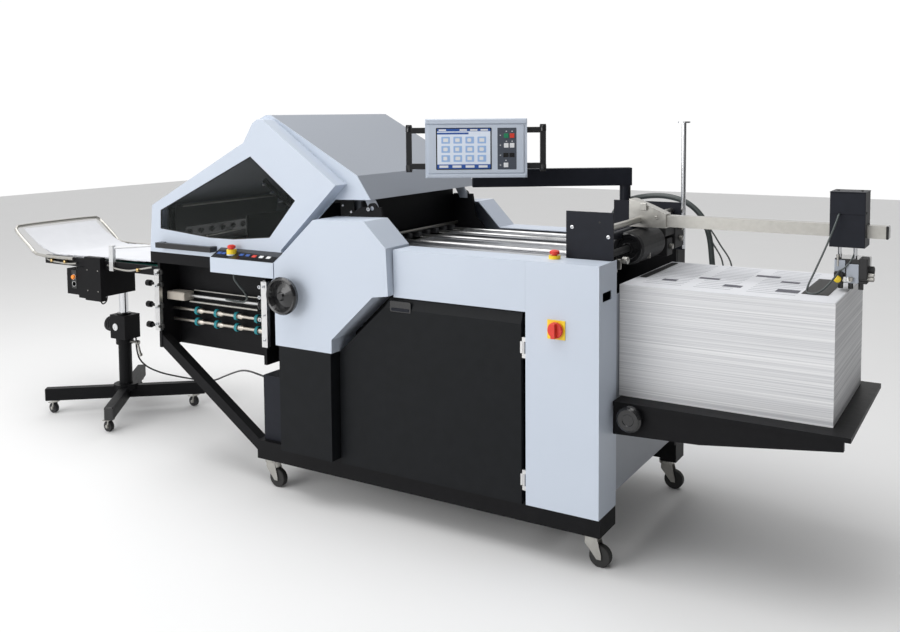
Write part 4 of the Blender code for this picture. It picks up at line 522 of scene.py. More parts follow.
WIDE = (-9.0, 9.0)
YELLOW = (0.86, 0.60, 0.02)
JET = (0.010, 0.010, 0.011)
PALE_TONE = (0.520, 0.575, 0.660)
SCREW = (0.66, 0.66, 0.66)
CHROME_TONE = (0.66, 0.67, 0.69)

# %% Covers with plates and collars
column = own("column_cover", pale_paint, "column paint")
boxed(column, (-0.1695, -0.1055), (-0.01, -0.0003), (0.762, 0.826), YELLOW, 0.4)
boxed(column, (-0.201, -0.159), (0.05, 0.10), (1.0125, 1.03), YELLOW, 0.4)
boxed(column, (-0.27, -0.2505), (-0.01, 0.02), (0.2, 0.8), SCREW, 0.35, 1.0)
box_top = own("sub_panel", pale_paint, "control box paint")
boxed(box_top, (-1.578, -1.534), (-0.03, 0.02), (0.9435, 0.98), YELLOW, 0.4)
door_face = own("front_door", door_paint, "door and knuckles")
boxed(door_face, (-0.2715, -0.24), WIDE, WIDE, SCREW, 0.35, 1.0)

# %% Hood, arm and panel
front_shell = own("hood_front_shell", pale_paint, "hood front paint")
boxed(front_shell, (-2.0, -1.66), (-0.02, 0.0297), (0.93, 0.97), JET, 0.35)
roof = own("hood_rear_shell", hood_paint, "hood roof paint")
boxed(roof, WIDE, (0.09, 0.1035), WIDE, PALE_TONE, 0.45)
PANEL_TURN = math.radians(31.2)
panel_paint = own("touch_panel", pale_paint, "panel paint")
ARM_POST = (-0.223, 0.835)
ARM_REACH = 0.5825
ARM_TURN = math.radians(214.6)
tilt_x = ARM_POST[0] + ARM_REACH * math.cos(ARM_TURN)
tilt_y = ARM_POST[1] + ARM_REACH * math.sin(ARM_TURN)
PANEL_MIDDLE = -0.018
for side in (-1, 1):
    edge = PANEL_MIDDLE + side * 0.1955
    boxed(panel_paint, sorted((edge, edge + side * 0.2)), WIDE, WIDE, JET, 0.4, 0.0, -PANEL_TURN,
        (tilt_x, tilt_y))
boxed(panel_paint, (-0.1, 0.1), (-0.0618, 0.2), WIDE, JET, 0.4, 0.0, -PANEL_TURN, (tilt_x, tilt_y))

# %% Fold unit, feeder and stand
unit = own("fold_unit_frame", black_paint, "fold unit paint and bars")
for bar_x in ((-2.0525, -2.0225), (-1.4415, -1.4115)):
    boxed(unit, bar_x, (0.03, 0.0535), (0.570, 0.836), SCREW, 0.35, 1.0)
drive = own("slitter_drive", beige_paint, "slitter box and bar")
boxed(drive, (-1.9245, -1.40), WIDE, WIDE, SCREW, 0.3, 1.0)
boxed(drive, (-1.526, -1.484), WIDE, WIDE, JET, 0.35)
rear_plate = own("feeder_rear_plate", charcoal_paint, "feeder plate and post")
boxed(rear_plate, WIDE, (0.70, 0.7935), WIDE, CHROME_TONE, 0.12, 1.0)
lift = own("pile_table", black_paint, "pile table paint")
boxed(lift, WIDE, (0.7665, 0.95), WIDE, SCREW, 0.4, 1.0)
head = own("sucker_head", gloss_black, "suction head plastics")
boxed(head, WIDE, WIDE, (1.0305, 1.3), CHROME_TONE, 0.15, 1.0)
deck_paint = own("conveyor_bed", black_paint, "conveyor paint")
boxed(deck_paint, (-2.56, -2.2), (0.19, 0.2245), WIDE, SCREW, 0.35, 1.0)
boxed(deck_paint, (-2.56, -2.2), (0.19, 0.34), (0.8060, 0.95), (0.70, 0.71, 0.72), 0.35, 0.6)
for name in nodes:
    if name.startswith("stand_caster"):
        low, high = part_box(name)
        middle = (low[1] + high[1]) / 2 - SHIFT[1]
        tyres = own(name, zinc_plate, name + " tyre")
        boxed(tyres, WIDE, (middle - 0.0102, middle + 0.0102), (-0.01, 0.052), JET, 0.6)

# %% Tyres on the nip shafts
def by_radius(material, y, z, radius, tone, roughness, metallic):
    """Mask of the points nearer than a radius to an axis along X: sqrt(dy^2 + dz^2) < radius."""
    tree = material.node_tree
    sockets = shares(tree)
    dy = math_node(tree, "SUBTRACT", sockets[1], SHIFT[1] + y)
    dz = math_node(tree, "SUBTRACT", sockets[2], SHIFT[2] + z)
    square = math_node(tree, "ADD", math_node(tree, "MULTIPLY", dy, dy), math_node(tree, "MULTIPLY", dz,
        dz))
    overlay(material, math_node(tree, "LESS_THAN", square, radius ** 2), tone, roughness, metallic)


NIP_Y, SHAFT_RADIUS = 0.125, 0.0145
for name, height in (("nip_shaft_upper", 0.657), ("nip_shaft_lower", 0.609)):
    by_radius(own(name, teal_rubber, name + " steel"), NIP_Y, height, SHAFT_RADIUS, (0.60, 0.56, 0.50),
        0.28, 1.0)
print("materials", len(bpy.data.materials))

# %% [markdown]
# Cables and hoses
#
# Three lines hang free on the real machine: the delivery stand's lead, the feeder's air hose and a thin
# suction tube. Each keeps the route of its solid. Two thin tubes further down have no solid. They could be
# bevelled curves, but a tube on an even path gives the same skin and its length can be measured from the
# numbers.

# %% Cords on their routes
lead_route = [(-2.693, 0.472, 0.3735), (-2.693, 0.472, 0.350), (-2.692, 0.474, 0.310), (-2.685, 0.484,
    0.262), (-2.667, 0.512, 0.220), (-2.6315, 0.568, 0.179), (-2.576, 0.634, 0.1490), (-2.5105, 0.669,
    0.1362), (-2.465, 0.678, 0.1332), (-2.420, 0.674, 0.1366), (-2.320, 0.640, 0.164), (-2.190, 0.570,
    0.216), (-2.030, 0.475, 0.280), (-1.880, 0.375, 0.335), (-1.740, 0.280, 0.373), (-1.620, 0.205, 0.394),
    (-1.520, 0.166, 0.400), (-1.485, 0.165, 0.400), (-1.4605, 0.165, 0.400)]
hose_route = [(-0.300, 0.882, 1.0053), (-0.300, 0.882, 1.035), (-0.286, 0.881, 1.085), (-0.238, 0.879,
    1.133), (-0.155, 0.876, 1.158), (-0.064, 0.872, 1.162), (0.017, 0.868, 1.141), (0.078, 0.864, 1.090),
    (0.108, 0.861, 1.020), (0.121, 0.859, 0.930), (0.128, 0.858, 0.830), (0.130, 0.857, 0.740),
    (0.124, 0.856, 0.665), (0.104, 0.855, 0.612), (0.074, 0.855, 0.590), (0.048, 0.855, 0.585),
    (0.020, 0.855, 0.585), (0.0008, 0.855, 0.585)]
tube_route = [(0.652, 0.4013, 1.170), (0.652, 0.390, 1.170), (0.645, 0.370, 1.140), (0.622, 0.348, 1.070),
              (0.594, 0.330, 0.995), (0.577, 0.318, 0.950), (0.575, 0.308, 0.932), (0.585, 0.300, 0.9295),
              (0.603, 0.302, 0.9305), (0.622, 0.318, 0.942), (0.640, 0.345, 0.964), (0.654, 0.375, 0.986),
              (0.655, 0.394, 0.990), (0.655, 0.4043, 0.990)]


def free_line(name, path, radius, sides, material, body, node=None):
    """A circle carried along the path; its length is the sum of the path's steps."""
    piece = mesh_piece(name, tube(path, radius, sides), material, body)
    if node:
        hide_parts(node)


LEAD_RADIUS, HOSE_RADIUS, TUBE_RADIUS = 0.004, 0.011, 0.003
STEP_SHARE = 0.8
free_line("stand_lead", smooth_path(lead_route, LEAD_RADIUS * STEP_SHARE), LEAD_RADIUS, 14, cable_black,
    "machine", "link_cable")
free_line("air_hose", smooth_path(hose_route, HOSE_RADIUS * STEP_SHARE), HOSE_RADIUS, 14, hose_grey,
    "machine", "feeder_hose")
free_line("suction_tube", smooth_path(tube_route, TUBE_RADIUS * STEP_SHARE), TUBE_RADIUS, 14, hose_grey,
    "suction_head", "air_tube")

# %% [markdown]
# The touch panel
#
# The operator's panel is a painted box with a raised bezel, a screen in a glossy black edge and a keypad
# column. The screen could be a picture, but thin plates a few tenths of a millimetre proud make a plain
# menu of tiles that stays sharp in any view.

# %% The panel's own directions
ALONG = np.array([math.cos(PANEL_TURN), math.sin(PANEL_TURN), 0.0])
FACING = np.array([math.sin(PANEL_TURN), -math.cos(PANEL_TURN), 0.0])
PANEL_TOP = 1.4745
PANEL_LEFT = -0.213
PANEL_FACE = 0.122
print("panel corner", (np.array([tilt_x, tilt_y, PANEL_TOP]) + SHIFT).round(3))


def on_panel(across, below, width, height, proud, thickness, radius=0.0015, edge=0.0004):
    """A rounded plate on the panel, its corner measured right and down from the panel's upper left corner."""
    centre = np.array([tilt_x, tilt_y, 0.0]) + ALONG * (PANEL_LEFT + across
        + width / 2) + FACING * (PANEL_FACE + proud)
    centre[2] = PANEL_TOP - below - height / 2
    return plate(rounded(width, height, radius), centre, ALONG, Z, thickness, edge)


def tone(name, colour, roughness=0.4):
    """A plain plastic or printed tone with a faint grain."""
    second = tuple(min(1.0, c * 1.08 + 0.004) for c in colour)
    return surface(name, colour, second, 60.0, (roughness, roughness + 0.08), grain=0.03)


screen_white = tone("screen ground", (0.70, 0.76, 0.86))
screen_blue = tone("screen bar", (0.02, 0.08, 0.32))
tile_blue = tone("screen tile", (0.30, 0.45, 0.72))
key_grey = tone("keypad grey", (0.055, 0.065, 0.085))
key_green = tone("green key", (0.01, 0.20, 0.09))
key_red = tone("red key", (0.62, 0.04, 0.02))
print("panel tones ready")

# %% Bezel, screen and menu tiles
mesh_piece("panel_bezel", on_panel(0.010, 0.022, 0.368, 0.186, -0.0005, 0.004, 0.004, 0.0015), panel_paint,
    "panel")
mesh_piece("panel_hood_lip", on_panel(0.0, 0.0005, 0.390, 0.019, -0.0005, 0.006, 0.004, 0.0025),
    panel_paint, "panel")
mesh_piece("panel_foot_lip", on_panel(0.004, 0.212, 0.382, 0.0135, -0.0005, 0.0055, 0.004, 0.0025),
    panel_paint, "panel")
mesh_piece("screen_frame", on_panel(0.0415, 0.034, 0.2124, 0.160, 0.003, 0.0015, 0.003), gloss_black,
    "panel")
mesh_piece("screen_ground", on_panel(0.0460, 0.0375, 0.2034, 0.153, 0.004, 0.0007, 0.001, 0.0002),
    screen_white, "panel")
bars = [on_panel(0.0460, 0.0375, 0.2034, 0.010, 0.0044, 0.0006, 0.0004, 0.0002),
        on_panel(0.0460, 0.0520, 0.120, 0.007, 0.0044, 0.0006, 0.0004, 0.0002),
        on_panel(0.0460, 0.1735, 0.2034, 0.017, 0.0044, 0.0006, 0.0004, 0.0002)]
mesh_piece("screen_bars", joined(*bars), screen_blue, "panel")
tiles = [on_panel(0.062 + 0.046 * c, 0.068 + 0.035 * r, 0.033, 0.026, 0.0044, 0.0006, 0.002, 0.0002)
    for r in range(3) for c in range(4)]
mesh_piece("screen_tiles", joined(*tiles), tile_blue, "panel")
marks = [on_panel(0.069 + 0.046 * c, 0.074 + 0.035 * r, 0.019 - 0.002 * ((r + c) % 3), 0.014, 0.0049,
    0.0004, 0.0012 + 0.0015 * ((r * 2 + c) % 3), 0.0001) for r in range(3) for c in range(4)]
marks += [on_panel(0.054 + 0.05 * k, 0.1775, 0.034, 0.009, 0.0049, 0.0004, 0.001, 0.0001) for k in range(4)]
marks += [on_panel(0.052 + 0.040 * k, 0.0395, 0.028, 0.006, 0.0049, 0.0004, 0.0006, 0.0001)
    for k in (0, 2, 3, 4)]
mesh_piece("screen_marks", joined(*marks), white_plastic, "panel")

# %% Keypad
mesh_piece("keypad_plate", on_panel(0.2763, 0.035, 0.0727, 0.1595, 0.003, 0.0012, 0.002), key_grey, "panel")
mesh_piece("start_key", on_panel(0.3010, 0.0565, 0.0175, 0.0175, 0.004, 0.0022, 0.0015, 0.0005), key_green,
    "panel")
mesh_piece("stop_key", on_panel(0.3235, 0.0565, 0.0175, 0.0175, 0.004, 0.0022, 0.0015, 0.0005), key_red,
    "panel")
keys = [on_panel(x, y, 0.0175, 0.0175, 0.004, 0.0022, 0.0015, 0.0005)
    for x, y in ((0.3010, 0.0935), (0.3235, 0.0935), (0.3000, 0.1685))]
mesh_piece("white_keys", joined(*keys), white_plastic, "panel")
mesh_piece("counter_windows", joined(*[on_panel(x, 0.131, 0.020, 0.0165, 0.004, 0.0008, 0.001)
    for x in (0.2985, 0.3215)]), gloss_black, "panel")
dots = [on_panel(x, y, 0.005, 0.003, 0.0041, 0.0003, 0.001, 0.0001)
    for x, y in ((0.308, 0.047), (0.330, 0.047), (0.285, 0.062), (0.285, 0.100), (0.285, 0.138),
    (0.285, 0.176), (0.308, 0.085), (0.330, 0.085), (0.306, 0.158))]
mesh_piece("key_symbols", joined(*dots), white_plastic, "panel")
print("pieces so far", len(made))

# %% Handles' round bars and knuckles
GRIP_OUT, GRIP_FORWARD, GRIP_FOOT = 0.195 + 0.063, 0.096, 1.2745
grips = []
for side in (-1, 1):
    edge = PANEL_MIDDLE + side * GRIP_OUT
    base = np.array([tilt_x, tilt_y, GRIP_FOOT]) + ALONG * edge + FACING * GRIP_FORWARD
    grips.append(turned([(0, 0.0118), (0.002, 0.0132), (0.022, 0.0132), (0.024, 0.0108), (0.150, 0.0108),
        (0.152, 0.0132), (0.172, 0.0132), (0.174, 0.0118)], base, Z, 24))
mesh_piece("panel_grips", joined(*grips), gloss_black, "panel")
print("handles", len(grips))

# %% [markdown]
# Inside the hood
#
# Through the window one sees the cross-fold gear: a grey buckle plate, a perforated bar and a round bar
# that run across the machine, a cylinder and a slanted row of stops. Only their visible sides matter, so
# each is a plate, a tube or a turned form, set on the fold unit at the depth where the photograph shows it.

# %% Buckle plate, bars and stops under the hood
inner_grey = surface("inner grey", (0.060, 0.062, 0.064), (0.085, 0.088, 0.090), 6.0, (0.35, 0.5),
    grain=0.1)
far_outline = np.array([(-2.038, 0.925), (-1.600, 0.925), (-1.600, 1.170), (-1.905, 1.160),
    (-2.020, 1.095)])
far_left = plate(far_outline, (0.0, 0.872, 0.0), X, Z, 0.004, 0.001)
sheet = plate(np.array([(0.0, 0.0), (0.66, 0.0), (0.66, 0.185), (0.0, 0.185)]), (-2.038, 0.79, 0.925), -Y,
    (0.18, 0.0, 0.984), 0.003, 0.0008)
mesh_piece("inner_buckle_plate", joined(sheet, far_left), inner_grey, "machine")
bar_face = plate(rounded(0.655, 0.060, 0.004), (-1.965, 0.4625, 0.990), -Y, (0.5, 0.0, 0.866), 0.004, 0.001)
mesh_piece("perforated_bar", bar_face, surface("bar grey", (0.10, 0.105, 0.11), (0.13, 0.135, 0.14), 8.0,
    (0.3, 0.45), grain=0.1), "machine")
hole_axis = np.array([0.866, 0.0, -0.5])
holes = [turned([(0.0038, 0.013), (0.0052, 0.013), (0.0052, 0.0108), (0.0041, 0.0104)], (-1.965, y, 0.990),
    hole_axis, 20) for y in np.linspace(0.165, 0.76, 10)]
mesh_piece("bar_holes", joined(*holes), black_rubber, "machine")
mesh_piece("cross_rod", joined(bar((-1.96, 0.12, 1.108), (-1.96, 0.86, 1.108), 0.006, 14, 8),
    turned([(0, 0.010), (0.012, 0.010), (0.012, 0.007)], (-1.96, 0.845, 1.108), Y, 16)), zinc_plate,
    "machine")
mesh_piece("air_cylinder", joined(turned([(0, 0.020), (0.004, 0.023), (0.012, 0.023), (0.014, 0.019),
    (0.105, 0.019), (0.107, 0.023), (0.120, 0.023), (0.124, 0.018)], (-1.915, 0.60, 0.985), X, 24),
    slab((-1.80, -1.74), (0.575, 0.625), (0.95, 1.02), 0.002, 0.004)), white_plastic, "machine")
slant = np.array([0.24, 0.0, -0.179])
slant = slant / np.linalg.norm(slant)
rail_path = np.array([(-1.785, 0.45, 1.201)]) + np.linspace(0, 0.218, 8)[:, None] * slant
mesh_piece("stop_rail", joined(tube(rail_path, 0.012, 10), tube(rail_path + np.array([0.0, 0.03, -0.018]),
    0.008, 10)), gloss_black, "machine")
stops = [turned([(0, 0.004), (0.002, 0.0065), (0.020, 0.0065), (0.023, 0.003)], p
    + np.array([-0.004, -0.022, 0.004]), -Y, 14) for p in rail_path[1::2]]
mesh_piece("rail_stops", joined(*stops), chrome, "machine")
posts = [slab((-2.040, -2.018), (0.115, 0.135), (0.93, 1.095), 0.002), slab((-1.80, -1.765), (0.64, 0.67),
    (0.94, 1.10), 0.002, 0.004), slab((-1.87, -1.60), (0.14, 0.79), (0.918, 0.925), 0.001),
    slab((-1.62, -1.612), (0.15, 0.78), (0.92, 1.08), 0.001)]
mesh_piece("inner_posts", joined(*posts), black_paint, "machine")
seat_rod = [bar((-1.83, 0.135, 0.985), (-2.038, 0.56075, 0.95705), 0.004, 10, 5)]
mesh_piece("delivery_rod", joined(*seat_rod), zinc_plate, "machine")
print("pieces so far", len(made))

# %% The window's gasket
HOOD_CORNER = np.array([-2.063, 0.9153])
HOOD_SIZE = np.array([1.118, 0.5797])
GASKET_Y, GASKET_RADIUS = 0.0345, 0.0032
window_shares = np.array([(0.524, 0.720), (0.726, 0.432), (0.606, 0.170), (0.435, 0.138), (0.315, 0.136),
    (0.059, 0.175), (0.062, 0.312)])
window_line = HOOD_CORNER + window_shares * HOOD_SIZE
gasket = []
for a, b in zip(window_line, np.roll(window_line, -1, axis=0)):
    gasket.append(bar((a[0], GASKET_Y, a[1]), (b[0], GASKET_Y, b[1]), GASKET_RADIUS, 8, 3))
mesh_piece("window_gasket", joined(*gasket), black_rubber, "hood")
print("gasket runs", len(gasket))

# %% [markdown]
# Behind the register table
#
# Where sheets pass under the hood's lip, the lip's shadow hides the space. A black wall stands there as
# painted shade, behind a row of sheet stops. It is one wall and a row of small blocks.

# %% Black wall as painted shade, and sheet stops
# The black wall is painted shade: it fills the shaded space under the lip.
shade_wall = slab((-1.012, -1.004), (0.130, 0.797), (0.975, 1.165), 0.001)
combs = [slab((-1.004, -0.972), (y, y + 0.022), (0.992, 1.012), 0.002, 0.003)
    for y in np.linspace(0.20, 0.74, 9)]
mesh_piece("lip_shade_wall", shade_wall, black_paint, "machine")
mesh_piece("sheet_stops", joined(*combs), inner_grey, "machine")
mesh_piece("stop_bar", bar((-0.985, 0.13, 1.020), (-0.985, 0.797, 1.020), 0.007), zinc_plate, "machine")
hinge_bits = [bolt((-0.961, 0.1150, 1.139), -Y, 0.0085, 0.010), bolt((-1.045, 0.1150, 1.125), -Y, 0.005,
    0.005), bolt((-1.085, 0.1150, 1.148), -Y, 0.004, 0.004)]
mesh_piece("hinge_bolts", joined(*hinge_bits), chrome, "machine")
print("stops", len(combs))

# %% [markdown]
# Small fittings on the covers
#
# A recessed pull in the door, the membrane keys on the control box, screws on the feeder's side plate:
# these give the covers their scale. They are thin plates with eased edges and turned screw heads.

# %% Door pull, membrane and screws
pull = [slab((-0.800, -0.710), (0.0085, 0.0125), (0.785, 0.826), 0.0012, 0.006)]
pull_lip = [slab((-0.794, -0.716), (0.0070, 0.0100), (0.789, 0.801), 0.0012, 0.004)]
mesh_piece("door_pull_frame", joined(*pull), gloss_black, "door")
mesh_piece("door_pull_lip", joined(*pull_lip), charcoal_paint, "door")
rise = np.array([0.0, 0.0647, 0.033])
rise = rise / np.linalg.norm(rise)
outward = np.array([0, -rise[2], rise[1]])
BOX_DEPTH = 0.068
membrane_centre = np.array([-1.4785, -0.0027, 0.9435])
mesh_piece("box_membrane", plate(rounded(0.329, BOX_DEPTH, 0.003), membrane_centre + 0.0004 * outward, X,
    rise, 0.0012, 0.0004), gloss_black, "machine")


def on_box(x, share, width, depth, proud=0.0014, thickness=0.0012):
    """A small key on the sloping top: x is its middle, share goes from the front edge to the back."""
    centre = membrane_centre + np.array([x - membrane_centre[0], 0, 0]) + rise * (share - 0.5) * BOX_DEPTH
    return plate(rounded(width, depth, 0.0012), centre + proud * outward, X, rise, thickness, 0.0004)


mesh_piece("box_white_keys", joined(*[on_box(x, 0.42, 0.020, 0.014) for x in (-1.395, -1.358)]),
    white_plastic, "machine")
mesh_piece("box_red_key", on_box(-1.432, 0.42, 0.020, 0.014), key_red, "machine")
mesh_piece("box_blue_keys", joined(*[on_box(x, 0.45, 0.020, 0.014)
    for x in (-1.62, -1.595, -1.50, -1.468)]), screen_blue, "machine")
screws = [bolt((-0.1385, 0.1274, 1.116), -Y, 0.0065, 0.003), bolt((-0.0101, 0.1274, 1.089), -Y, 0.0065,
    0.003)]
mesh_piece("plate_screws", joined(*screws), chrome, "machine")
mesh_piece("plate_hole", turned([(0, 0.0035), (0.0006, 0.0035), (0.0006, 0.0025), (0.0002, 0.002)],
    (-0.0414, 0.1276, 1.136), -Y, 16), black_rubber, "machine")
unit_bolts = [bolt((-2.0375, 0.0350, z), -Y, 0.0075, 0.006) for z in (0.600, 0.672, 0.765, 0.818)]
unit_bolts += [bolt((-1.4265, 0.0350, z), -Y, 0.0055, 0.005) for z in (0.60, 0.700, 0.815)]
unit_bolts += [bolt((-1.4585, 0.0500, z), -Y, 0.0085, 0.008) for z in (0.678, 0.768, 0.810)]
mesh_piece("unit_bolts", joined(*unit_bolts), chrome, "machine")
feet = [turned([(0, 0.010), (0.002, 0.0125), (0.010, 0.0125), (0.014, 0.006), (0.022, 0.006)],
    (-2.02, 0.0500, z), -Y, 18) for z in (0.591, 0.680, 0.773, 0.825)]
mesh_piece("unit_feet", joined(*feet), black_rubber, "machine")
print("pieces so far", len(made))

# %% Cable and guards on the fold unit
cable_path = smooth_path([(-1.545, -0.005, 0.8676), (-1.545, -0.005, 0.845), (-1.535, 0.010, 0.815),
    (-1.530, 0.035, 0.785), (-1.545, 0.065, 0.755), (-1.580, 0.090, 0.732), (-1.63, 0.100, 0.725),
    (-1.70, 0.105, 0.727)], 0.004)
mesh_piece("slitter_cable", tube(cable_path, 0.0042, 12), hose_grey, "machine")
rods = [bar((-1.918, 0.112, 0.697), (-1.53, 0.112, 0.697), 0.0045, 12, 5), bar((-1.918, 0.140, 0.741),
    (-1.47, 0.140, 0.741), 0.0035, 12, 5)]
mesh_piece("slitter_rods", joined(*rods), zinc_plate, "machine")
mesh_piece("slitter_lid", joined(slab((-2.0285, -1.926), (0.0835, 0.0865), (0.7035, 0.7345), 0.001, 0.002),
    slab((-2.026, -1.93), (0.086, 0.139), (0.7345, 0.7375), 0.001, 0.002)), beige_paint, "machine")
mesh_piece("sensor_block", slab((-1.482, -1.462), (0.096, 0.118), (0.664, 0.722), 0.0015, 0.003),
    white_plastic, "machine")
mesh_piece("clutch_rings", turned([(0, 0.020), (0.003, 0.026), (0.008, 0.026), (0.011, 0.021),
    (0.014, 0.026), (0.020, 0.026), (0.022, 0.020)], (-1.523, 0.125, 0.719), X, 28), gloss_black, "machine")
print("cable length", round(path_length(cable_path), 3))

# %% [markdown]
# The pile and its top sheet
#
# The top of the pile shows one printed sheet: grey text blocks and a few pictures. Printed matter could be
# an image, but a plain layout of thin grey plates reads the same from here and stays generic.

# %% Printed top sheet
ink_grey = tone("grey ink", (0.36, 0.37, 0.40), 0.8)
ink_dark = tone("dark ink", (0.10, 0.10, 0.12), 0.8)
PILE_TOP, SHEET_TOP = 0.9252, 0.9258
ROWS_Y = np.arange(0.26, 0.70, 0.031)
COLUMNS = ((0.06, 0.13), (0.23, 0.12), (0.40, 0.15))
PICTURES = ((0.10, 0.33, 0.05, 0.035), (0.20, 0.42, 0.07, 0.03), (0.31, 0.31, 0.06, 0.04),
    (0.36, 0.55, 0.08, 0.035), (0.48, 0.30, 0.07, 0.05), (0.46, 0.47, 0.06, 0.03))
# The top sheet wears the grey paper tone, which is painted shade.
mesh_piece("top_sheet", deck((0.008, 0.678), (0.190, 0.731), (PILE_TOP, SHEET_TOP), 0.0002), paper_with_painted_shade,
    "lift_table")
lines = [deck((x, x + w), (y, y + 0.006), (SHEET_TOP, 0.92605), 0.0001) for x, w in COLUMNS for y in ROWS_Y]
mesh_piece("printed_lines", joined(*lines), ink_grey, "lift_table")
pictures = [deck((x, x + w), (y, y + d), (SHEET_TOP, 0.92615), 0.0001, 0.002) for x, y, w, d in PICTURES]
mesh_piece("printed_pictures", joined(*pictures), ink_dark, "lift_table")
# Two thin dark strips lying on the top sheet: painted shadows on the pile.
shadow_strips = [deck((0.016, 0.040), (0.352, 0.700), (0.9262, 0.9282), 0.0006, 0.003), deck((0.560, 0.640),
    (0.30, 0.60), (0.9262, 0.9270), 0.0004, 0.003)]
mesh_piece("pile_top_shadows", joined(*shadow_strips), black_rubber, "lift_table")
print("lines on the sheet", len(lines))

# %% [markdown]
# The feeder head
#
# Between the two dark plates sits the matt black suction drum with its hubs, the arm's clamp, grey
# cylinders and a few zinc levers. The parts that catch light are modelled: rims, bolts, levers and the hose
# ends.

# %% Drum, hubs and levers
matt_black = surface("matt black", (0.010, 0.010, 0.011), (0.018, 0.018, 0.019), 60.0, (0.5, 0.65),
    grain=0.2)
give("feed_drum", matt_black)
rims = [turned([(0, 0.030), (0.001, 0.050), (0.004, 0.052), (0.006, 0.050), (0.006, 0.038), (0.003, 0.036),
    (0.003, 0.020), (0.008, 0.018), (0.008, 0.008)], (-0.020, 0.3295, 1.026), -Y, 40)]
mesh_piece("drum_rim", joined(*rims), gloss_black, "feeder_drum")
cylinders = [bar((-0.052, 0.20, 1.074), (-0.052, 0.66, 1.074), 0.014, 18),
    turned([(0, 0.020), (0.004, 0.023), (0.03, 0.023), (0.034, 0.016)], (-0.052, 0.62, 1.074), Y, 24)]
mesh_piece("feeder_cylinder", joined(*cylinders), charcoal_paint, "machine")
levers = [slab((0.020, 0.034), (0.405, 0.409), (0.985, 1.045), 0.001, 0.003), slab((-0.010, 0.012),
    (0.182, 0.188), (0.975, 1.010), 0.001, 0.005), slab((-0.030, -0.005), (0.190, 0.196), (0.962, 0.985),
    0.001, 0.005), turned([(0, 0.009), (0.003, 0.012), (0.02, 0.012), (0.023, 0.006)], (0.010, 0.20, 1.005),
    X, 18)]
mesh_piece("feeder_levers", joined(*levers), zinc_plate, "machine")
blocks = [slab((-0.010, 0.030), (0.60, 0.66), (0.965, 1.030), 0.002, 0.004), slab((0.0, 0.034),
    (0.68, 0.78), (0.985, 1.090), 0.002, 0.004), slab((-0.03, 0.03), (0.58, 0.70), (1.04, 1.075), 0.002,
    0.004)]
mesh_piece("feeder_valves", joined(*blocks), matt_black, "machine")
mesh_piece("valve_caps", joined(*[turned([(0, 0.008), (0.002, 0.010), (0.012, 0.010), (0.014, 0.005)],
    (x, y, z), X, 16) for x, y, z in ((0.030, 0.63, 1.0), (0.034, 0.73, 1.02), (0.034, 0.73, 1.06))]),
    zinc_plate, "machine")
arm_bits = [bolt((0.0, 0.4340, 1.155), -Y, 0.006, 0.004), bolt((0.045, 0.4340, 1.125), -Y, 0.006, 0.004),
    slab((-0.012, 0.012), (0.424, 0.434), (1.150, 1.176), 0.001, 0.004)]
mesh_piece("arm_clamp", joined(*arm_bits), zinc_plate, "machine")
print("pieces so far", len(made))

# %% Arm cap, suction box lid and head fittings
mesh_piece("arm_cap", slab((0.782, 0.7905), (0.4385, 0.4815), (1.0925, 1.1355), 0.002, 0.006), gloss_black,
    "machine")
mesh_piece("box_lid", joined(slab((0.6215, 0.7285), (0.4005, 0.5035), (1.2375, 1.2415), 0.001, 0.003),
    slab((0.6235, 0.7265), (0.4006, 0.4019), (1.171, 1.2355), 0.0004, 0.002), slab((0.6235, 0.7265),
    (0.4006, 0.4019), (1.069, 1.1685), 0.0004, 0.002)), charcoal_paint, "suction_box")
lid_screws = [bolt((x, 0.452, 1.2412), Z, 0.004, 0.003) for x in (0.640, 0.710)] + [bolt((0.7275, y, z), X,
    0.0035, 0.002) for y, z in ((0.42, 1.175), (0.42, 1.10), (0.48, 1.135))]
mesh_piece("lid_screws", joined(*lid_screws), black_rubber, "suction_box")
grey_blocks = [slab((0.640, 0.672), (0.3985, 0.4040), (0.985, 1.026), 0.001, 0.003), slab((0.676, 0.712),
    (0.3960, 0.4040), (0.955, 1.015), 0.001, 0.003)]
mesh_piece("head_blocks", joined(*grey_blocks), tone("pale grey block", (0.34, 0.37, 0.42)), "suction_head")
head_black = [slab((0.640, 0.668), (0.3900, 0.4040), (0.962, 0.990), 0.002, 0.004), slab((0.712, 0.737),
    (0.395, 0.45), (0.970, 1.035), 0.002, 0.004), slab((0.645, 0.737), (0.398, 0.46), (0.9545, 0.9625),
    0.002, 0.003), turned([(0, 0.010), (0.002, 0.013), (0.018, 0.013), (0.020, 0.009)], (0.7340, 0.43,
    0.995), X, 20)]
mesh_piece("head_valves", joined(*head_black), matt_black, "suction_head")
head_zinc = [turned([(0, 0.006), (0.002, 0.008), (0.020, 0.008), (0.022, 0.004)], (0.733, 0.42, z), X, 16)
    for z in (0.968, 0.980)]
head_zinc += [turned([(0, 0.004), (0.03, 0.004), (0.031, 0.006), (0.036, 0.006)], (0.650, 0.4005, 1.006), Z,
    14), turned([(0, 0.006), (0.012, 0.008), (0.014, 0.004)], (0.690, 0.392, 0.962), Z, 14)]
mesh_piece("head_fittings", joined(*head_zinc), zinc_plate, "suction_head")
mesh_piece("yellow_knob", turned([(0, 0.008), (0.002, 0.011), (0.009, 0.011), (0.011, 0.008)],
    (0.652, 0.3905, 0.967), -Y, 20), yellow_plastic, "suction_head")
mesh_piece("white_cups", joined(*[turned([(0, 0.005), (0.004, 0.008), (0.012, 0.0065), (0.016, 0.004)],
    (x, 0.396, 0.958), Z, 16) for x in (0.672, 0.684)]), white_plastic, "suction_head")
second_tube = smooth_path([(0.700, 0.4300, 1.068), (0.698, 0.425, 1.055), (0.685, 0.400, 1.02),
    (0.668, 0.388, 1.000), (0.655, 0.392, 0.992)], 0.003)
mesh_piece("valve_tube", tube(second_tube, 0.0025, 10), hose_grey, "suction_head")
print("pieces so far", len(made))

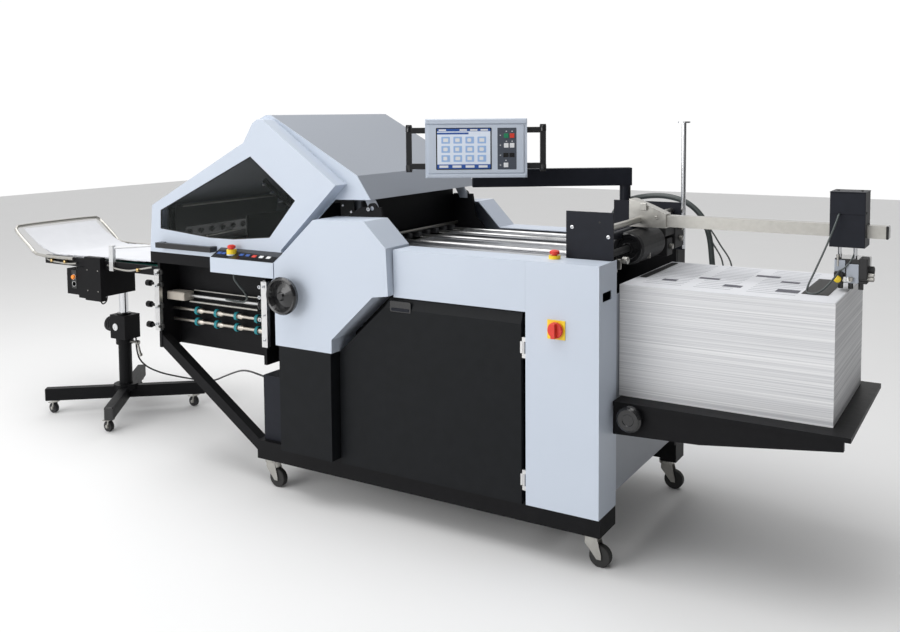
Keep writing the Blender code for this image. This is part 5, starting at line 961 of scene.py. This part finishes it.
# %% Thin tubes, lift knob cap and mast
thin = [smooth_path([(0.030, 0.800, 1.065), (0.060, 0.84, 1.060), (0.092, 0.850, 1.045), (0.130, 0.850,
    0.985), (0.163, 0.850, 0.925), (0.170, 0.850, 0.800), (0.140, 0.850, 0.640), (0.070, 0.850, 0.560),
    (0.0015, 0.850, 0.545)], 0.004), smooth_path([(0.030, 0.795, 1.075), (0.070, 0.842, 1.070),
    (0.108, 0.852, 1.050), (0.155, 0.852, 0.985), (0.197, 0.852, 0.915), (0.200, 0.852, 0.780),
    (0.160, 0.852, 0.600), (0.080, 0.852, 0.530), (0.0015, 0.852, 0.515)], 0.004)]
for number, path in enumerate(thin):
    free_line(f"thin_tube_{number}", path, TUBE_RADIUS, 10, hose_grey, "machine")
mesh_piece("knob_cap", turned([(0, 0.036), (0.001, 0.0365), (0.003, 0.034), (0.003, 0.020), (0.001, 0.018),
    (0.001, 0.004)], (0.076, 0.0838, 0.505), -Y, 32), gloss_black, "guide_knob")
mesh_piece("mast_strip", slab((-0.060, -0.001), (0.8155, 0.8185), (0.20, 0.98), 0.001), charcoal_paint,
    "machine")
print("pieces so far", len(made))

# %% [markdown]
# The delivery stand
#
# Folded sheets ride on green belts and slide up against a raised wire frame. The stack there is a shingled
# run of bowed sheets. One surface bent along the travel, repeated a millimetre apart, gives the layered
# edge.

# %% Belts and bowed sheets
belt_green = surface("belt green", (0.010, 0.13, 0.10), (0.015, 0.18, 0.14), 60.0, (0.5, 0.65), grain=0.25)
belts = [deck((-3.045, -2.240), (y, y + 0.05), (0.7975, 0.7995), 0.0006)
    for y in (0.250, 0.345, 0.440, 0.535, 0.630)]
mesh_piece("belts", joined(*belts), belt_green, "delivery_head")


BELT_TOP, BEND_START, BEND_RUN, BEND_RISE, BEND_POWER = 0.8005, -2.99, 0.262, 0.1215, 1.55
SHEET_ROWS = 40


def bowed_sheet(left, right, front, back, lift, thickness=0.0012):
    """Height over the belts: zero up to the deck's end, then rising with a power of the distance past it."""
    x = np.linspace(right, left, SHEET_ROWS)
    climb = BEND_RISE * np.clip((BEND_START - x) / BEND_RUN, 0, 1) ** BEND_POWER
    top = np.stack([np.repeat(x, 2), np.tile([front, back], SHEET_ROWS), np.repeat(BELT_TOP + lift + climb,
        2)], axis=1)
    low = top - np.array([0, 0, thickness])
    near = 2 * np.arange(SHEET_ROWS - 1)
    under = near + 2 * SHEET_ROWS
    quads = np.concatenate([np.stack([near, near + 1, near + 3, near + 2], 1),
                            np.stack([under, under + 2, under + 3, under + 1], 1),
                            np.stack([near, near + 2, under + 2, under], 1),
                            np.stack([near + 1, under + 1, under + 3, near + 3], 1)])
    last = 2 * SHEET_ROWS - 2
    ends = [[0, last + 2, last + 3, 1], [last, last + 1, 2 * last + 3, 2 * last + 2]]
    return np.concatenate([top, low]), quads.tolist() + ends


SHINGLE, SHEET_GAP, UNEVEN = 0.055, 0.0016, 0.002
shingles = [bowed_sheet(-3.250 + SHINGLE * k, -2.905 + SHINGLE * k, 0.252 + UNEVEN * (k % 3),
    0.690 - UNEVEN * (k % 2), SHEET_GAP * k + 0.001) for k in range(12)]
# The delivered sheets wear the grey paper tone, which is painted shade.
mesh_piece("delivered_sheets", joined(*shingles), paper_with_painted_shade, "delivery_head")
print("sheets", len(shingles))

# %% Guide rods, drive box and dial
loops = [smooth_path([(-3.030, 0.222, 0.786), (-2.99, 0.216, 0.780), (-2.86, 0.214, 0.775), (-2.80, 0.217,
    0.780)], 0.006), smooth_path([(-2.58, 0.222, 0.786), (-2.52, 0.214, 0.778), (-2.42, 0.213, 0.775),
    (-2.36, 0.219, 0.785), (-2.28, 0.226, 0.800)], 0.006)]
mesh_piece("guide_rods", joined(*[tube(p, 0.0045, 12) for p in loops]), zinc_plate, "delivery_head")
mesh_piece("rod_knobs", joined(*[turned([(0, 0.005), (0.001, 0.008), (0.016, 0.008), (0.018, 0.005)],
    (x, 0.222, 0.783), -Y, 14) for x in (-2.98, -2.88, -2.36)]), brass_screw, "delivery_head")
mesh_piece("dial_plate", slab((-2.842, -2.806), (0.2170, 0.2192), (0.655, 0.745), 0.0006, 0.003),
    gloss_black, "delivery_head")
mesh_piece("speed_dial", turned([(0, 0.010), (0.002, 0.0115), (0.010, 0.010), (0.011, 0.004)],
    (-2.824, 0.2172, 0.712), -Y, 24), tone("orange dial", (0.90, 0.26, 0.02)), "delivery_head")
mesh_piece("dial_marks", joined(*[turned([(0, 0.0135), (0.0006, 0.0135), (0.0006, 0.0125),
    (0.0002, 0.0120)], (-2.824, 0.2172, z), -Y, 24) for z in (0.712, 0.678)]), white_plastic,
    "delivery_head")
box_screws = [bolt((x, 0.1947, z), -Y, 0.003, 0.0015) for x in (-2.695, -2.620) for z in (0.66, 0.76)]
mesh_piece("box_screws", joined(*box_screws), zinc_plate, "delivery_head")
print("pieces so far", len(made))

# %% Clamp, brake levers and hubs
mesh_piece("clamp_ring", turned([(0, 0.016), (0.0010, 0.018), (0.0024, 0.018), (0.0024, 0.009),
    (0.0008, 0.008)], (-2.757, 0.3990, 0.434), -Y, 28), white_plastic, "machine")
mesh_piece("clamp_grooves", joined(*[turned([(0, 0.0345), (0.001, 0.0395), (0.004, 0.0395),
    (0.005, 0.0345)], (x, 0.447, 0.4343), -X, 32) for x in (-2.812, -2.826, -2.840)]), gloss_black,
    "machine")
mesh_piece("lever_boss", joined(turned([(0, 0.010), (0.003, 0.012), (0.014, 0.012), (0.017, 0.007)],
    (-2.660, 0.447, 0.358), X, 20), turned([(0, 0.007), (0.004, 0.0095), (0.012, 0.0095), (0.015, 0.005)],
    (-2.6335, 0.447, 0.305), -Z, 18)), zinc_plate, "clamp_handle")
mesh_piece("pole_guard", turned([(0, 0.030), (0.002, 0.034), (0.008, 0.034), (0.010, 0.024)],
    (-2.7475, 0.447, 0.4946), Z, 32), gloss_black, "machine")
short_lead = smooth_path([(-2.735, 0.3000, 0.612), (-2.735, 0.298, 0.590), (-2.715, 0.296, 0.575),
    (-2.695, 0.300, 0.590), (-2.700, 0.310, 0.6105)], 0.003)
mesh_piece("drive_lead", tube(short_lead, 0.0035, 10), cable_black, "delivery_head")
STAND_MIDDLE = (-2.7475, 0.447)
CASTER_REACH, CAP_REACH, CAP_Z = 0.345, 0.388, 0.0983
BAR_TURNS = [math.radians(39), math.radians(-52)]
for k, (angle, side) in enumerate((angle, side) for angle in BAR_TURNS for side in (-1, 1)):
    x = STAND_MIDDLE[0] + side * CASTER_REACH * math.cos(angle)
    y = STAND_MIDDLE[1] + side * CASTER_REACH * math.sin(angle)
    lever = slab((x - 0.052, x - 0.018), (y - 0.010, y + 0.010), (0.046, 0.050), 0.001, 0.002)
    hub = turned([(0, 0.006), (0.001, 0.008), (0.003, 0.008), (0.004, 0.004)], (x - 0.016, y - 0.0135,
        0.025), -Y, 18)
    mesh_piece(f"brake_lever_{k + 1}", joined(lever, hub), zinc_plate, f"stand_fork_{k + 1}")
end_caps = []
for angle in BAR_TURNS:
    along = np.array([math.cos(angle), math.sin(angle), 0.0])
    for side in (-1, 1):
        centre = np.array([*STAND_MIDDLE, CAP_Z]) + along * side * CAP_REACH
        across = np.cross(Z, along * side)
        end_caps.append(plate(rounded(0.041, 0.0615, 0.006), centre, across, Z, 0.004, 0.0015))
mesh_piece("bar_caps", joined(*end_caps), gloss_black, "machine")
print("pieces so far", len(made))

# %% [markdown]
# The studio
#
# The machine stands on a pale floor in soft light, as in a catalogue. The room is white on the delivery
# side and dark beyond the feeder, so the faces that look towards the feeder fall into shade. A large panel
# hangs overhead and one stands at the front left.

# %% Floor, lights and world
floor_mesh = bpy.data.meshes.new("studio_floor")
FLOOR_REACH = 14
floor_corners = [(FLOOR_REACH * x, FLOOR_REACH * y, cad_box[0][2]) for x, y in ((-1, -1), (1, -1), (1, 1),
    (-1, 1))]
floor_mesh.from_pydata(floor_corners, [], [(0, 1, 2, 3)])
floor = bpy.data.objects.new("studio_floor", floor_mesh)
floor_mesh.materials.append(surface("studio floor", (0.80, 0.80, 0.80), (0.82, 0.82, 0.82), 2.0,
    (0.75, 0.85), grain=0.0))
bpy.context.scene.collection.objects.link(floor)


def soft_light(name, at, towards, size, power):
    lamp = bpy.data.lights.new(name, "AREA")
    lamp.shape = "RECTANGLE"
    lamp.size, lamp.size_y = size
    lamp.energy = power
    holder = bpy.data.objects.new(name, lamp)
    holder.location = Vector(at) + Vector(SHIFT)
    holder.rotation_euler = (Vector(towards) - Vector(at)).to_track_quat("-Z", "Y").to_euler()
    bpy.context.scene.collection.objects.link(holder)


soft_light("overhead", (-1.8, -0.2, 4.2), (-1.6, 0.4, 0.8), (5.0, 3.0), 110)
soft_light("front", (-3.2, -5.0, 2.2), (-1.4, 0.4, 0.8), (4.0, 2.5), 110)
world = bpy.data.worlds.new("studio_air")
world.use_nodes = True
air = world.node_tree
air.nodes["Background"].inputs["Color"].default_value = (1.0, 1.0, 1.0, 1.0)
BRIGHT, DIM = 1.02, 0.10
direction = air.nodes.new("ShaderNodeTexCoord")
parts = air.nodes.new("ShaderNodeSeparateXYZ")
fall = air.nodes.new("ShaderNodeMapRange")
fall.interpolation_type = "SMOOTHSTEP"
for slot, value in (("From Min", 0.0), ("From Max", 0.55), ("To Min", BRIGHT), ("To Max", DIM)):
    fall.inputs[slot].default_value = value
air.links.new(direction.outputs["Generated"], parts.inputs["Vector"])
air.links.new(parts.outputs["X"], fall.inputs["Value"])
air.links.new(fall.outputs["Result"], air.nodes["Background"].inputs["Strength"])
bpy.context.scene.world = world
bpy.context.scene.view_settings.view_transform = "Standard"
